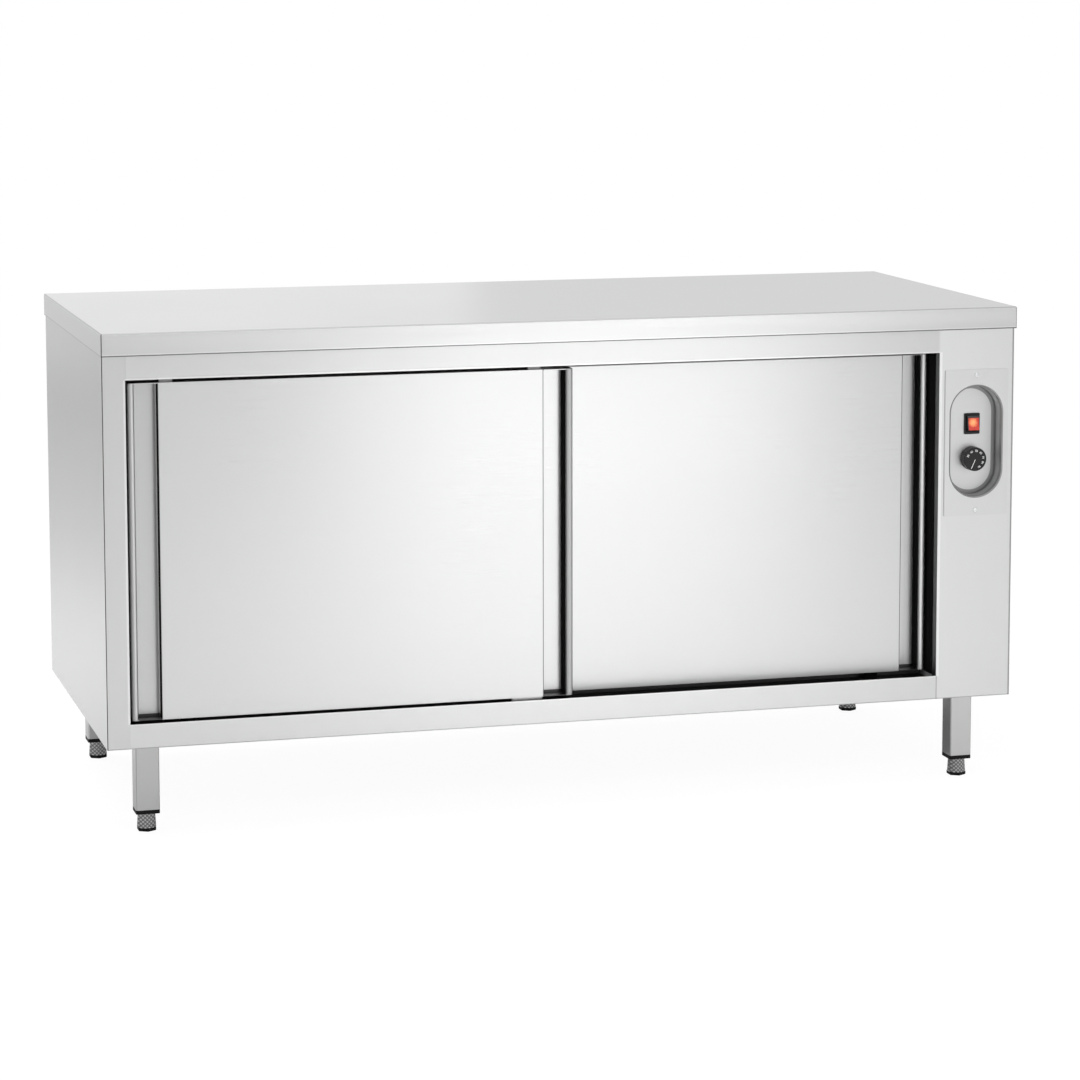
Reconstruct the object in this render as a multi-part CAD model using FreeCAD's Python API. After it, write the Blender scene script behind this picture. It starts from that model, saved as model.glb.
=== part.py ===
"""Plate warmer cabinet: a stainless hot cupboard with two sliding doors, a control
column on the right and four levelling feet. Millimetres, +X to the right, +Y to
the back, +Z up. The origin is on the floor under the middle of the cabinet."""
import FreeCAD, Part
import math
import os

Vector = FreeCAD.Vector

# Overall size
cabinet_width = 1600.0
cabinet_depth = 700.0
cabinet_height = 843.0
underside_height = 153.0

# Sheet and running clearances
outer_sheet = 1.5
inner_sheet = 1.0
running_clearance = 0.05
tread_clearance = 0.3
cut_overrun = 5.0
hex_sides = 6

# Worktop: a folded tray, open below, with lips that rest on the body
worktop_height = 38.0
worktop_lip = 25.0
worktop_edge_radius = 2.5
front_overhang = 9.0
back_overhang = 9.0
side_overhang = 1.5
stiffener_count = 3
stiffener_crown = 80.0
stiffener_foot = 20.0
stiffener_end_clearance = 0.5

# Body front
stile_width = 38.5
column_width = 138.5
top_rail_height = 40.0
bottom_rail_height = 41.0
jamb_depth = 19.0
rail_return = 12.0
sill_drop = 10.0
rail_flange = 16.0
side_flange = 12.0

# Heated cavity
back_gap = 28.5
ceiling_drop = 37.0
door_zone_gap = 5.0

# Sliding doors
door_overlap = 102.0
door_thickness = 30.0
door_sheet = 1.2
door_setback = 10.0
door_to_door_gap = 3.0
door_left_gap = 4.0
door_right_gap = 5.0
door_bottom_gap = 3.5
door_top_gap = 6.7
left_outer_grip_width = 51.0
right_outer_grip_width = 47.0
inner_grip_width = 52.0
bar_width = 12.0
bar_radius = 5.0
panel_edge_radius = 1.1

# Door hangers, rollers and the track they run in
hanger_inset = 65.5
hanger_width = 22.0
hanger_plate = 3.0
hanger_foot_depth = 20.0
hanger_head = 7.0
roller_radius = 12.0
roller_width = 7.0
axle_radius = 3.0
roller_side_clearance = 0.5
roller_rim_radius = 1.0
axle_head_radius = 5.0
axle_head_height = 1.5
track_sheet = 2.0
track_lip_height = 10.7
track_slot = 6.6
track_side_clearance = 1.0

# Door guide pins, which run in slots of the sill
guide_inset = 95.5
guide_length = 24.0
guide_width = 3.0
guide_reach = 19.0
guide_foot_length = 36.0
guide_foot_width = 14.0
guide_foot_height = 1.2
guide_slot = 4.2
guide_slot_end = 12.0

# Shelf and what it sits on
shelf_rise_share = 0.486
shelf_skirt = 26.0
shelf_side_gap = 4.0
shelf_front_gap = 8.0
shelf_back_gap = 4.0
upright_width = 20.0
upright_depth = 3.0
upright_inset = 60.0
upright_end_gap = 6.0
upright_slot_pitch = 40.0
upright_slot_width = 4.0
upright_slot_height = 14.0
bracket_reach = 34.0
bracket_sheet = 2.0
bracket_drop = 30.0

# Control plate with its pressed recess
plate_width = 119.0
plate_height = 257.0
plate_sheet = 1.2
plate_drop = 71.0
plate_corner_radius = 2.0
recess_width = 95.0
recess_length = 194.0
recess_rise = 2.0
recess_depth = 30.0
recess_draft = 1.5
recess_rim_radius = 2.4
recess_cutout_clearance = 2.0
screw_spacing = 238.5
screw_head_radius = 4.5
screw_head_height = 2.6
screw_shank_radius = 2.0
screw_length = 10.0
screw_slot_width = 1.0
screw_slot_depth = 1.2

# Rocker switch
control_offset = 3.5
switch_rise = 27.5
bezel_width = 29.0
bezel_height = 37.0
bezel_thickness = 2.0
bezel_radius = 2.0
switch_body_width = 25.0
switch_body_height = 31.0
switch_body_depth = 24.0
switch_wall = 1.4
rocker_width = 21.0
rocker_height = 26.0
rocker_tilt = 8.0
rocker_rise = 9.5
rocker_pivot_depth = 4.0
rocker_edge_radius = 1.2
rocker_dip_share = 0.8
trunnion_radius = 1.5
trunnion_length = 1.0
terminal_width = 6.3
terminal_length = 8.0
terminal_sheet = 0.8

# Thermostat and its knob
thermostat_drop = 33.5
thermostat_width = 36.0
thermostat_tall = 40.0
thermostat_depth = 26.0
thermostat_collar_radius = 7.0
shaft_radius = 3.0
knob_radius = 21.0
knob_height = 18.0
knob_floor_gap = 1.5
knob_front_radius = 1.2
knob_flute_count = 36
knob_flute_radius = 0.9
knob_bore_length = 12.0
shaft_back_length = 16.0

# Fan in the control column
fan_rise = 131.0
fan_size = 120.0
fan_depth = 38.0
fan_bore_radius = 57.0
fan_corner_radius = 6.0
fan_spoke_width = 6.0
fan_spoke_depth = 5.0
motor_radius = 20.0
motor_shaft_radius = 3.0
motor_depth = 12.0
impeller_radius = 54.0
impeller_hub_radius = 19.0
impeller_wall_gap = 3.0
impeller_motor_gap = 0.5
blade_count = 7
blade_sheet = 1.6
blade_chord = 22.0
blade_pitch = 35.0
blade_root_sink = 2.0

# Heater loop and its cover on the cavity side
heater_rod_radius = 4.0
heater_standoff = 12.0
heater_loop_width = 150.0
heater_loop_height = 130.0
heater_bend_radius = 30.0
heater_flange_radius = 9.0
heater_flange_thickness = 3.0
heater_tail = 22.0
cover_width = 240.0
cover_height = 200.0
cover_depth = 26.0
cover_slot_count = 7
cover_slot_height = 8.0
cover_slot_margin = 24.0
cover_flange = 10.0

# Terminal block and cable inlet
terminal_block_width = 60.0
terminal_block_depth = 24.0
terminal_block_height = 22.0
terminal_block_back = 150.0
terminal_block_poles = 5
terminal_well_radius = 3.0
terminal_well_depth = 12.0
gland_rise = 65.0
gland_bore_radius = 5.0
gland_thread_radius = 8.0
gland_nut_radius = 12.5
gland_nut_thickness = 5.0
gland_dome_length = 8.0
gland_inner_length = 12.0

# Legs and levelling feet
leg_size = 40.0
leg_wall = 1.5
leg_corner_radius = 3.0
leg_side_inset = 52.5
leg_depth_inset = 43.0
cap_flange_bottom = 31.4
cap_flange_height = 6.6
cap_plug_height = 25.0
cap_plug_clearance = 0.1
foot_top_radius = 14.5
foot_bottom_radius = 16.0
foot_base_height = 6.0
foot_base_radius = 17.0
foot_base_edge = 1.2
foot_gap = 0.4
stem_radius = 5.0
stem_length = 38.0
knurl_count = 40
knurl_radius = 0.5
knurl_overrun_share = 0.1

# Places that follow from the sizes above
body_left = -cabinet_width / 2 + side_overhang
body_right = cabinet_width / 2 - side_overhang
body_front = -cabinet_depth / 2 + front_overhang
body_back = cabinet_depth / 2 - back_overhang
body_bottom = underside_height
body_top = cabinet_height - worktop_height
opening_left = body_left + stile_width
opening_right = body_right - column_width
opening_bottom = body_bottom + bottom_rail_height
opening_top = body_top - top_rail_height
sill_top = opening_bottom - sill_drop
sill_bottom = sill_top - outer_sheet
front_face_back = body_front + outer_sheet
jamb_back = body_front + jamb_depth

left_door_front = body_front + door_setback
left_door_back = left_door_front + door_thickness
right_door_front = left_door_back + door_to_door_gap
right_door_back = right_door_front + door_thickness
door_bottom = opening_bottom + door_bottom_gap
door_top = opening_top - door_top_gap
door_run = opening_right - opening_left - door_left_gap - door_right_gap
door_width = (door_run + door_overlap) / 2
left_door_left = opening_left + door_left_gap
right_door_right = opening_right - door_right_gap
right_door_left = right_door_right - door_width

cavity_front = right_door_back + door_zone_gap
cavity_back = body_back - outer_sheet - back_gap
ceiling_height = body_top - ceiling_drop
cavity_height = ceiling_height - opening_bottom
shelf_height = opening_bottom + cavity_height * shelf_rise_share
fan_back = (cavity_front + cavity_back) / 2
fan_height = opening_bottom + fan_rise
gland_height = body_bottom + gland_rise
track_bottom = door_top + track_lip_height
track_top = body_top - outer_sheet

column_centre = (opening_right + body_right) / 2
control_centre = column_centre + control_offset
plate_face = body_front - plate_sheet
plate_centre_height = body_top - plate_drop - plate_height / 2
recess_centre_height = plate_centre_height + recess_rise
switch_height = recess_centre_height + switch_rise
thermostat_height = recess_centre_height - thermostat_drop
recess_floor = plate_face + recess_depth


def block(x0, x1, y0, y1, z0, z1):
    """A box between two corners."""
    return Part.makeBox(x1 - x0, y1 - y0, z1 - z0, Vector(x0, y0, z0))


def prism(points, height, base):
    """A solid raised from a plan outline."""
    corners = [Vector(x, y, base) for x, y in points]
    face = Part.Face(Part.makePolygon(corners + corners[:1]))
    return face.extrude(Vector(0, 0, height))


def cylinder_y(radius, length, x, y, z):
    """A round bar along +Y from the given start."""
    return Part.makeCylinder(radius, length, Vector(x, y, z), Vector(0, 1, 0))


def cylinder_x(radius, length, x, y, z):
    """A round bar along +X from the given start."""
    return Part.makeCylinder(radius, length, Vector(x, y, z), Vector(1, 0, 0))


def cylinder_z(radius, length, x, y, z):
    """A round bar along +Z from the given start."""
    return Part.makeCylinder(radius, length, Vector(x, y, z))


def edges_where(shape, test):
    """The straight edges whose two ends both pass a test."""
    found = []
    for edge in shape.Edges:
        ends = [vertex.Point for vertex in edge.Vertexes]
        if len(ends) == 2 and all(test(point) for point in ends):
            found.append(edge)
    return found


def near(value, target):
    """True where two places agree."""
    return abs(value - target) < running_clearance


def fuse(shapes):
    """One solid from pieces that overlap or share faces."""
    whole = shapes[0]
    for shape in shapes[1:]:
        whole = whole.fuse(shape)
    return whole.removeSplitter()


def save(name, shapes):
    """Write one node, which may hold several separate solids."""
    group = shapes if isinstance(shapes, list) else [shapes]
    solids = []
    for shape in group:
        solids.extend(shape.Solids)
    shape = solids[0] if len(solids) == 1 else Part.makeCompound(solids)
    shape.exportStep("parts/" + name + ".step")


# Worktop

def worktop():
    half_width = cabinet_width / 2
    half_depth = cabinet_depth / 2
    tray = block(-half_width, half_width, -half_depth, half_depth, body_top, cabinet_height)
    on_top = edges_where(tray, lambda point: near(point.z, cabinet_height))
    corners = [edge for edge in tray.Edges if not near(edge.BoundBox.ZLength, 0)]
    tray = tray.makeFillet(worktop_edge_radius, on_top + corners)
    hollow = block(
        -half_width + outer_sheet, half_width - outer_sheet,
        -half_depth + outer_sheet, half_depth - outer_sheet,
        body_top + outer_sheet, cabinet_height - outer_sheet,
    )
    mouth = block(
        -half_width + worktop_lip, half_width - worktop_lip,
        -half_depth + worktop_lip, half_depth - worktop_lip,
        body_top - cut_overrun, body_top + cut_overrun,
    )
    return tray.cut(hollow).cut(mouth)


def worktop_stiffeners():
    """Hat channels glued under the top sheet, running front to back."""
    top = cabinet_height - outer_sheet
    bottom = body_top + outer_sheet
    reach = cabinet_depth / 2 - worktop_lip - stiffener_end_clearance
    pitch = cabinet_width / (stiffener_count + 1)
    hats = []
    for index in range(stiffener_count):
        centre = -cabinet_width / 2 + pitch * (index + 1)
        half = stiffener_crown / 2
        crown = block(centre - half, centre + half, -reach, reach, bottom, top)
        room = block(
            centre - half + outer_sheet, centre + half - outer_sheet,
            -reach - cut_overrun, reach + cut_overrun,
            bottom + outer_sheet, top + cut_overrun,
        )
        feet = block(
            centre - half - stiffener_foot, centre + half + stiffener_foot,
            -reach, reach, top - outer_sheet, top,
        )
        hats.append(fuse([feet, crown]).cut(room))
    return hats


# Body panels

def left_side_panel():
    """Side sheet folded round the front to make the left stile and its jamb."""
    side = block(body_left, body_left + outer_sheet, body_front, body_back, body_bottom, body_top)
    stile = block(body_left, opening_left, body_front, front_face_back, body_bottom, body_top)
    jamb = block(
        opening_left - outer_sheet, opening_left, body_front, jamb_back,
        sill_bottom, opening_top,
    )
    flange = block(
        body_left, body_left + side_flange, front_face_back + rail_flange, body_back - outer_sheet,
        body_top - outer_sheet, body_top,
    )
    panel = fuse([side, stile, jamb, flange])
    corner = edges_where(panel, lambda point: near(point.x, body_left) and near(point.y, body_front))
    return panel.makeFillet(outer_sheet - running_clearance, corner)


def right_side_panel():
    side = block(
        body_right - outer_sheet, body_right, body_front, body_back, body_bottom, body_top,
    )
    flange = block(
        body_right - side_flange, body_right, front_face_back + rail_flange, body_back - outer_sheet,
        body_top - outer_sheet, body_top,
    )
    return fuse([side, flange])


def back_panel():
    panel = block(
        body_left + outer_sheet, body_right - outer_sheet, body_back - outer_sheet, body_back,
        body_bottom, body_top,
    )
    hole = cylinder_y(
        gland_thread_radius + running_clearance, outer_sheet + 2 * cut_overrun,
        column_centre, body_back - outer_sheet - cut_overrun, gland_height,
    )
    return panel.cut(hole)


def base_panel():
    return block(
        body_left + outer_sheet, body_right - outer_sheet, front_face_back, body_back - outer_sheet,
        body_bottom, body_bottom + outer_sheet,
    )


def top_front_rail():
    """Rail above the doors, a channel with a drip return and a seat for the worktop."""
    face = block(opening_left, opening_right, body_front, front_face_back, opening_top, body_top)
    drip = block(
        opening_left, opening_right, body_front, body_front + rail_return,
        opening_top, opening_top + outer_sheet,
    )
    seat = block(
        opening_left, opening_right, body_front, front_face_back + rail_flange,
        body_top - outer_sheet, body_top,
    )
    return fuse([face, drip, seat])


def bottom_front_rail():
    """Rail below the doors, and the sill behind its upper edge, in which the guide pins run."""
    face = block(opening_left, opening_right, body_front, front_face_back, body_bottom, opening_bottom)
    sill = block(
        opening_left, opening_right, body_front, cavity_front,
        sill_bottom, sill_top,
    )
    rail = fuse([face, sill])
    for front in (left_door_front, right_door_front):
        centre = front + door_thickness / 2
        rail = rail.cut(block(
            opening_left + guide_slot_end, opening_right - guide_slot_end,
            centre - guide_slot / 2, centre + guide_slot / 2,
            sill_bottom - cut_overrun, sill_top + cut_overrun,
        ))
    return rail


def control_column_front():
    """Front of the control column, with a return as the right jamb."""
    right = body_right - outer_sheet
    face = block(opening_right, right, body_front, front_face_back, body_bottom, body_top)
    jamb = block(
        opening_right, opening_right + outer_sheet, body_front, jamb_back,
        body_bottom + outer_sheet, body_top,
    )
    hole = recess_block(
        recess_width / 2 + plate_sheet + recess_cutout_clearance,
        front_face_back - cut_overrun, front_face_back + cut_overrun,
    )
    panel = fuse([face, jamb]).cut(hole)
    for side in (-1, 1):
        panel = panel.cut(cylinder_y(
            screw_shank_radius + running_clearance, outer_sheet + 2 * cut_overrun,
            column_centre, body_front - cut_overrun, plate_centre_height + side * screw_spacing / 2,
        ))
    return panel


# Heated cavity

def inner_left_wall():
    return block(
        opening_left - inner_sheet, opening_left, jamb_back, cavity_back,
        sill_bottom, body_top - outer_sheet,
    )


def inner_right_wall():
    wall = block(
        opening_right, opening_right + inner_sheet, jamb_back, cavity_back,
        sill_bottom, body_top - outer_sheet,
    )
    wall = wall.cut(cylinder_x(
        fan_bore_radius, inner_sheet + 2 * cut_overrun,
        opening_right - cut_overrun, fan_back, fan_height,
    ))
    for place in heater_tail_places():
        wall = wall.cut(cylinder_x(
            heater_rod_radius + running_clearance, inner_sheet + 2 * cut_overrun,
            opening_right - cut_overrun, place, heater_bottom(),
        ))
    return wall


def inner_back_wall():
    return block(
        opening_left - inner_sheet, opening_right + inner_sheet, cavity_back,
        cavity_back + inner_sheet, opening_bottom - inner_sheet, body_top - outer_sheet,
    )


def inner_floor():
    """Floor sheet, its front edge folded down to the sill."""
    sheet = block(
        opening_left, opening_right, cavity_front, cavity_back,
        opening_bottom - inner_sheet, opening_bottom,
    )
    riser = block(
        opening_left, opening_right, cavity_front, cavity_front + inner_sheet,
        sill_bottom, opening_bottom,
    )
    return fuse([sheet, riser])


def inner_ceiling():
    return block(
        opening_left, opening_right, track_rear(), cavity_back,
        ceiling_height - inner_sheet, ceiling_height,
    )


def left_insulation():
    return block(
        body_left + outer_sheet, opening_left - inner_sheet, jamb_back, cavity_back,
        body_bottom + outer_sheet, body_top - outer_sheet,
    )


def back_insulation():
    return block(
        body_left + outer_sheet, opening_right, cavity_back + inner_sheet,
        body_back - outer_sheet, body_bottom + outer_sheet, body_top - outer_sheet,
    )


def ceiling_insulation():
    return block(
        opening_left, opening_right, track_rear(), cavity_back,
        ceiling_height, body_top - outer_sheet,
    )


def floor_insulation():
    return block(
        opening_left, opening_right, cavity_front + inner_sheet, cavity_back,
        body_bottom + outer_sheet, opening_bottom - inner_sheet,
    )


# Shelf

def shelf():
    """A tray turned upside down, its edges folded down on all sides."""
    left = opening_left + shelf_side_gap
    right = opening_right - shelf_side_gap
    front = cavity_front + shelf_front_gap
    back = cavity_back - shelf_back_gap
    tray = block(left, right, front, back, shelf_height - shelf_skirt, shelf_height)
    room = block(
        left + outer_sheet, right - outer_sheet, front + outer_sheet, back - outer_sheet,
        shelf_height - shelf_skirt - cut_overrun, shelf_height - outer_sheet,
    )
    return tray.cut(room)


def upright_places():
    """Side, Y centre of each slotted upright."""
    front = cavity_front + upright_inset
    back = cavity_back - upright_inset
    return [(side, y) for side in (-1, 1) for y in (front, back)]


def shelf_uprights():
    strips = []
    bottom = opening_bottom + upright_end_gap
    top = ceiling_height - inner_sheet - upright_end_gap
    count = int((top - bottom) / upright_slot_pitch)
    for side, y in upright_places():
        wall = opening_left if side < 0 else opening_right - upright_depth
        strip = block(
            wall, wall + upright_depth, y - upright_width / 2, y + upright_width / 2, bottom, top,
        )
        slots = []
        for index in range(1, count):
            height = bottom + index * upright_slot_pitch
            slots.append(block(
                wall - cut_overrun, wall + upright_depth + cut_overrun,
                y - upright_slot_width / 2, y + upright_slot_width / 2,
                height, height + upright_slot_height,
            ))
        strips.append(strip.cut(Part.makeCompound(slots)))
    return strips


def shelf_brackets():
    """Angles that hook on the uprights and carry the shelf's top sheet."""
    brackets = []
    top = shelf_height - outer_sheet
    for side, y in upright_places():
        wall = opening_left + upright_depth if side < 0 else opening_right - upright_depth
        inward = -side
        plate_near = wall + inward * (shelf_side_gap + outer_sheet)
        y0 = y - upright_width / 2
        y1 = y + upright_width / 2
        arm_ends = sorted([plate_near, wall + inward * bracket_reach])
        arm = block(arm_ends[0], arm_ends[1], y0, y1, top - bracket_sheet, top)
        web_ends = sorted([plate_near, plate_near + inward * bracket_sheet])
        web = block(web_ends[0], web_ends[1], y0, y1, top - bracket_drop - bracket_sheet, top)
        heel_ends = sorted([wall, plate_near + inward * bracket_sheet])
        heel = block(
            heel_ends[0], heel_ends[1], y0, y1,
            top - bracket_drop - bracket_sheet, top - bracket_drop,
        )
        brackets.append(fuse([arm, web, heel]))
    return brackets


# Door track

def track_rear():
    return right_door_back + track_side_clearance


def upper_track():
    """Double track: two channels, each with a slot between two lips."""
    front = left_door_front - track_side_clearance
    whole = block(
        opening_left, opening_right, front, track_rear(), track_bottom, track_top,
    )
    middle = (left_door_back + right_door_front) / 2
    channels = [
        (front + track_sheet, middle - track_sheet / 2, left_door_front),
        (middle + track_sheet / 2, track_rear() - track_sheet, right_door_front),
    ]
    for near_side, far_side, door_front in channels:
        whole = whole.cut(block(
            opening_left - cut_overrun, opening_right + cut_overrun, near_side, far_side,
            track_bottom + track_sheet, track_top - track_sheet,
        ))
        slot = hanger_line(door_front)
        whole = whole.cut(block(
            opening_left - cut_overrun, opening_right + cut_overrun,
            slot - track_slot / 2, slot + track_slot / 2,
            track_bottom - cut_overrun, track_bottom + 2 * track_sheet,
        ))
    return whole


# Doors

def hanger_line(door_front):
    """Y of the hanger plates' middle plane, a little in front of the door's middle."""
    return door_front + door_thickness / 2 - roller_width / 2


def axle_height():
    return track_bottom + track_sheet + tread_clearance + roller_radius


def door_plan(left, front, left_grip, right_grip):
    """Plan outline of the folded front skin, a sheet of even thickness."""
    right = left + door_width
    floor = front + door_thickness - 2 * door_sheet
    back = front + door_thickness - door_sheet
    outside = [
        (left, back), (left, front), (left + bar_width, front),
        (left + bar_width, floor), (left + left_grip, floor), (left + left_grip, front),
        (right - right_grip, front), (right - right_grip, floor),
        (right - bar_width, floor), (right - bar_width, front), (right, front), (right, back),
    ]
    inside = [
        (right - door_sheet, back), (right - door_sheet, front + door_sheet),
        (right - bar_width + door_sheet, front + door_sheet),
        (right - bar_width + door_sheet, floor + door_sheet),
        (right - right_grip - door_sheet, floor + door_sheet),
        (right - right_grip - door_sheet, front + door_sheet),
        (left + left_grip + door_sheet, front + door_sheet),
        (left + left_grip + door_sheet, floor + door_sheet),
        (left + bar_width - door_sheet, floor + door_sheet),
        (left + bar_width - door_sheet, front + door_sheet),
        (left + door_sheet, front + door_sheet), (left + door_sheet, back),
    ]
    return outside + inside


def upright_edges(shape, y, lines):
    """The vertical edges that stand at one depth, on any of the given X lines."""
    def fits(point):
        return near(point.y, y) and any(near(point.x, line) for line in lines)

    return [edge for edge in edges_where(shape, fits) if not near(edge.BoundBox.ZLength, 0)]


def door_front_skin(left, front, left_grip, right_grip):
    """Panel, two full-height finger grips and their rounded end bars, folded from one sheet."""
    plan = door_plan(left, front, left_grip, right_grip)
    skin = prism(plan, door_top - door_bottom - 2 * door_sheet, door_bottom + door_sheet)
    right = left + door_width
    bar_lines = [left, left + bar_width, right - bar_width, right]
    inner_lines = [
        left + door_sheet, left + bar_width - door_sheet,
        right - bar_width + door_sheet, right - door_sheet,
    ]
    panel_lines = [left + left_grip, right - right_grip]
    bends = [
        (bar_radius - door_sheet, front + door_sheet, inner_lines),
        (bar_radius, front, bar_lines),
        (panel_edge_radius, front, panel_lines),
    ]
    for radius, y, lines in bends:
        skin = skin.makeFillet(radius, upright_edges(skin, y, lines))
    return skin


def door_back_skin(left, front):
    """Back sheet whose top and bottom are folded forward to close the door's ends."""
    back = front + door_thickness
    right = left + door_width
    sheet = block(left, right, back - door_sheet, back, door_bottom, door_top)
    top = block(left, right, front, back, door_top - door_sheet, door_top)
    bottom = block(left, right, front, back, door_bottom, door_bottom + door_sheet)
    skin = fuse([sheet, top, bottom])
    return skin.makeFillet(bar_radius, upright_edges(skin, front, [left, right]))


def door_core(left, front, left_grip, right_grip):
    """Insulation board between the two skins."""
    return block(
        left + left_grip + door_sheet, left + door_width - right_grip - door_sheet,
        front + door_sheet, front + door_thickness - door_sheet,
        door_bottom + door_sheet, door_top - door_sheet,
    )


def roller_centres(left):
    middle = left + door_width / 2
    reach = door_width / 2 - hanger_inset
    return [middle - reach, middle + reach]


def hanger(centre, front):
    """Bent plate on the door's top that rises through the track's slot."""
    line = hanger_line(front)
    half = hanger_width / 2
    top = axle_height() + hanger_head
    plate = block(
        centre - half, centre + half, line - hanger_plate / 2, line + hanger_plate / 2,
        door_top, top,
    )
    foot = block(
        centre - half, centre + half, line - hanger_plate / 2,
        line - hanger_plate / 2 + hanger_foot_depth, door_top, door_top + hanger_plate,
    )
    hole = cylinder_y(
        axle_radius, 2 * cut_overrun + hanger_plate,
        centre, line - hanger_plate / 2 - cut_overrun, axle_height(),
    )
    return fuse([plate, foot]).cut(hole)


def axle(centre, front):
    """Rivet through the hanger plate, on which the roller turns."""
    line = hanger_line(front)
    start = line - hanger_plate / 2 - axle_head_height
    length = roller_width + 2 * roller_side_clearance + hanger_plate
    shank = cylinder_y(
        axle_radius, length + 2 * axle_head_height,
        centre, start, axle_height(),
    )
    near_head = cylinder_y(axle_head_radius, axle_head_height, centre, start, axle_height())
    far_head = cylinder_y(
        axle_head_radius, axle_head_height, centre, start + axle_head_height + length,
        axle_height(),
    )
    return fuse([shank, near_head, far_head])


def roller(centre, front):
    start = hanger_line(front) + hanger_plate / 2 + roller_side_clearance
    wheel = cylinder_y(roller_radius, roller_width, centre, start, axle_height())
    wheel = wheel.makeFillet(roller_rim_radius, wheel.Edges)
    bore = cylinder_y(
        axle_radius + running_clearance, roller_width + 2 * cut_overrun,
        centre, start - cut_overrun, axle_height(),
    )
    return wheel.cut(bore)


def door_hangers(left, front):
    pieces = []
    for centre in roller_centres(left):
        pieces.append(hanger(centre, front))
        pieces.append(axle(centre, front))
    return pieces


def door_guides(left, front):
    """Nylon pins under the door, with a foot plate, that run in the sill's slot."""
    middle = left + door_width / 2
    line = front + door_thickness / 2
    pins = []
    for side in (-1, 1):
        centre = middle + side * (door_width / 2 - guide_inset)
        foot = block(
            centre - guide_foot_length / 2, centre + guide_foot_length / 2,
            line - guide_foot_width / 2, line + guide_foot_width / 2,
            door_bottom - guide_foot_height, door_bottom,
        )
        blade = block(
            centre - guide_length / 2, centre + guide_length / 2,
            line - guide_width / 2, line + guide_width / 2,
            door_bottom - guide_reach, door_bottom,
        )
        pins.append(fuse([foot, blade]))
    return pins


def save_door(side, left, front, left_grip, right_grip):
    save(side + "_door_front_skin", door_front_skin(left, front, left_grip, right_grip))
    save(side + "_door_back_skin", door_back_skin(left, front))
    save(side + "_door_insulation", door_core(left, front, left_grip, right_grip))
    save(side + "_door_hangers", door_hangers(left, front))
    save(side + "_door_guides", door_guides(left, front))
    for place, centre in zip(("left", "right"), roller_centres(left)):
        save(side + "_door_" + place + "_roller", roller(centre, front))


# Control plate

def stadium_wire(radius, y):
    """Upright outline with two round ends, at one depth."""
    x = column_centre
    straight = (recess_length - recess_width) / 2
    low = recess_centre_height - straight
    high = recess_centre_height + straight
    right_low = Vector(x + radius, y, low)
    right_high = Vector(x + radius, y, high)
    left_high = Vector(x - radius, y, high)
    left_low = Vector(x - radius, y, low)
    edges = [
        Part.LineSegment(right_low, right_high).toShape(),
        Part.Arc(right_high, Vector(x, y, high + radius), left_high).toShape(),
        Part.LineSegment(left_high, left_low).toShape(),
        Part.Arc(left_low, Vector(x, y, low - radius), right_low).toShape(),
    ]
    return Part.Wire(edges)


def recess_block(radius, y0, y1):
    """Straight stadium block."""
    return Part.Face(stadium_wire(radius, y0)).extrude(Vector(0, y1 - y0, 0))


def drafted_block(radius, y0, y1, draft):
    """Stadium block that narrows towards the back."""
    return Part.makeLoft([stadium_wire(radius, y0), stadium_wire(radius - draft, y1)], True)


def control_plate():
    """Cover plate with a deep pressed recess, whose rim is rounded."""
    half = plate_width / 2
    low = plate_centre_height - plate_height / 2
    plate = block(
        column_centre - half, column_centre + half, plate_face, body_front,
        low, low + plate_height,
    )
    corners = [edge for edge in plate.Edges if not near(edge.BoundBox.YLength, 0)]
    plate = plate.makeFillet(plate_corner_radius, corners)
    radius = recess_width / 2
    shell = drafted_block(
        radius + plate_sheet, plate_face, recess_floor + plate_sheet, recess_draft,
    )
    plate = plate.fuse(shell).removeSplitter()
    void = drafted_block(radius, plate_face, recess_floor, recess_draft)
    lead = recess_block(radius, plate_face - cut_overrun, plate_face)
    plate = plate.cut(void.fuse(lead))
    plate = rounded_rim(plate, radius)
    plate = plate.cut(switch_cutout())
    plate = plate.cut(cylinder_y(
        thermostat_collar_radius + running_clearance, plate_sheet + 2 * cut_overrun,
        control_centre, recess_floor - cut_overrun, thermostat_height,
    ))
    for side in (-1, 1):
        plate = plate.cut(cylinder_y(
            screw_shank_radius + running_clearance, plate_sheet + 2 * cut_overrun,
            column_centre, plate_face - cut_overrun, plate_centre_height + side * screw_spacing / 2,
        ))
    return plate


def rounded_rim(plate, radius):
    """Round the recess's mouth on both faces of the sheet."""
    def on_outline(edge, y, size):
        box = edge.BoundBox
        inside = box.XMin > column_centre - size - running_clearance
        inside = inside and box.XMax < column_centre + size + running_clearance
        reach = recess_length / 2 - recess_width / 2 + size + running_clearance
        inside = inside and box.ZMax < recess_centre_height + reach
        return inside and near(box.YMin, y) and near(box.YMax, y)

    back_edges = [edge for edge in plate.Edges if on_outline(edge, body_front, radius + plate_sheet)]
    plate = plate.makeFillet(recess_rim_radius - plate_sheet, back_edges)
    rim_edges = [edge for edge in plate.Edges if on_outline(edge, plate_face, radius)]
    return plate.makeFillet(recess_rim_radius, rim_edges)


def switch_cutout():
    half_width = switch_body_width / 2 + running_clearance
    half_height = switch_body_height / 2 + running_clearance
    return block(
        control_centre - half_width, control_centre + half_width,
        recess_floor - cut_overrun, recess_floor + plate_sheet + cut_overrun,
        switch_height - half_height, switch_height + half_height,
    )


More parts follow.
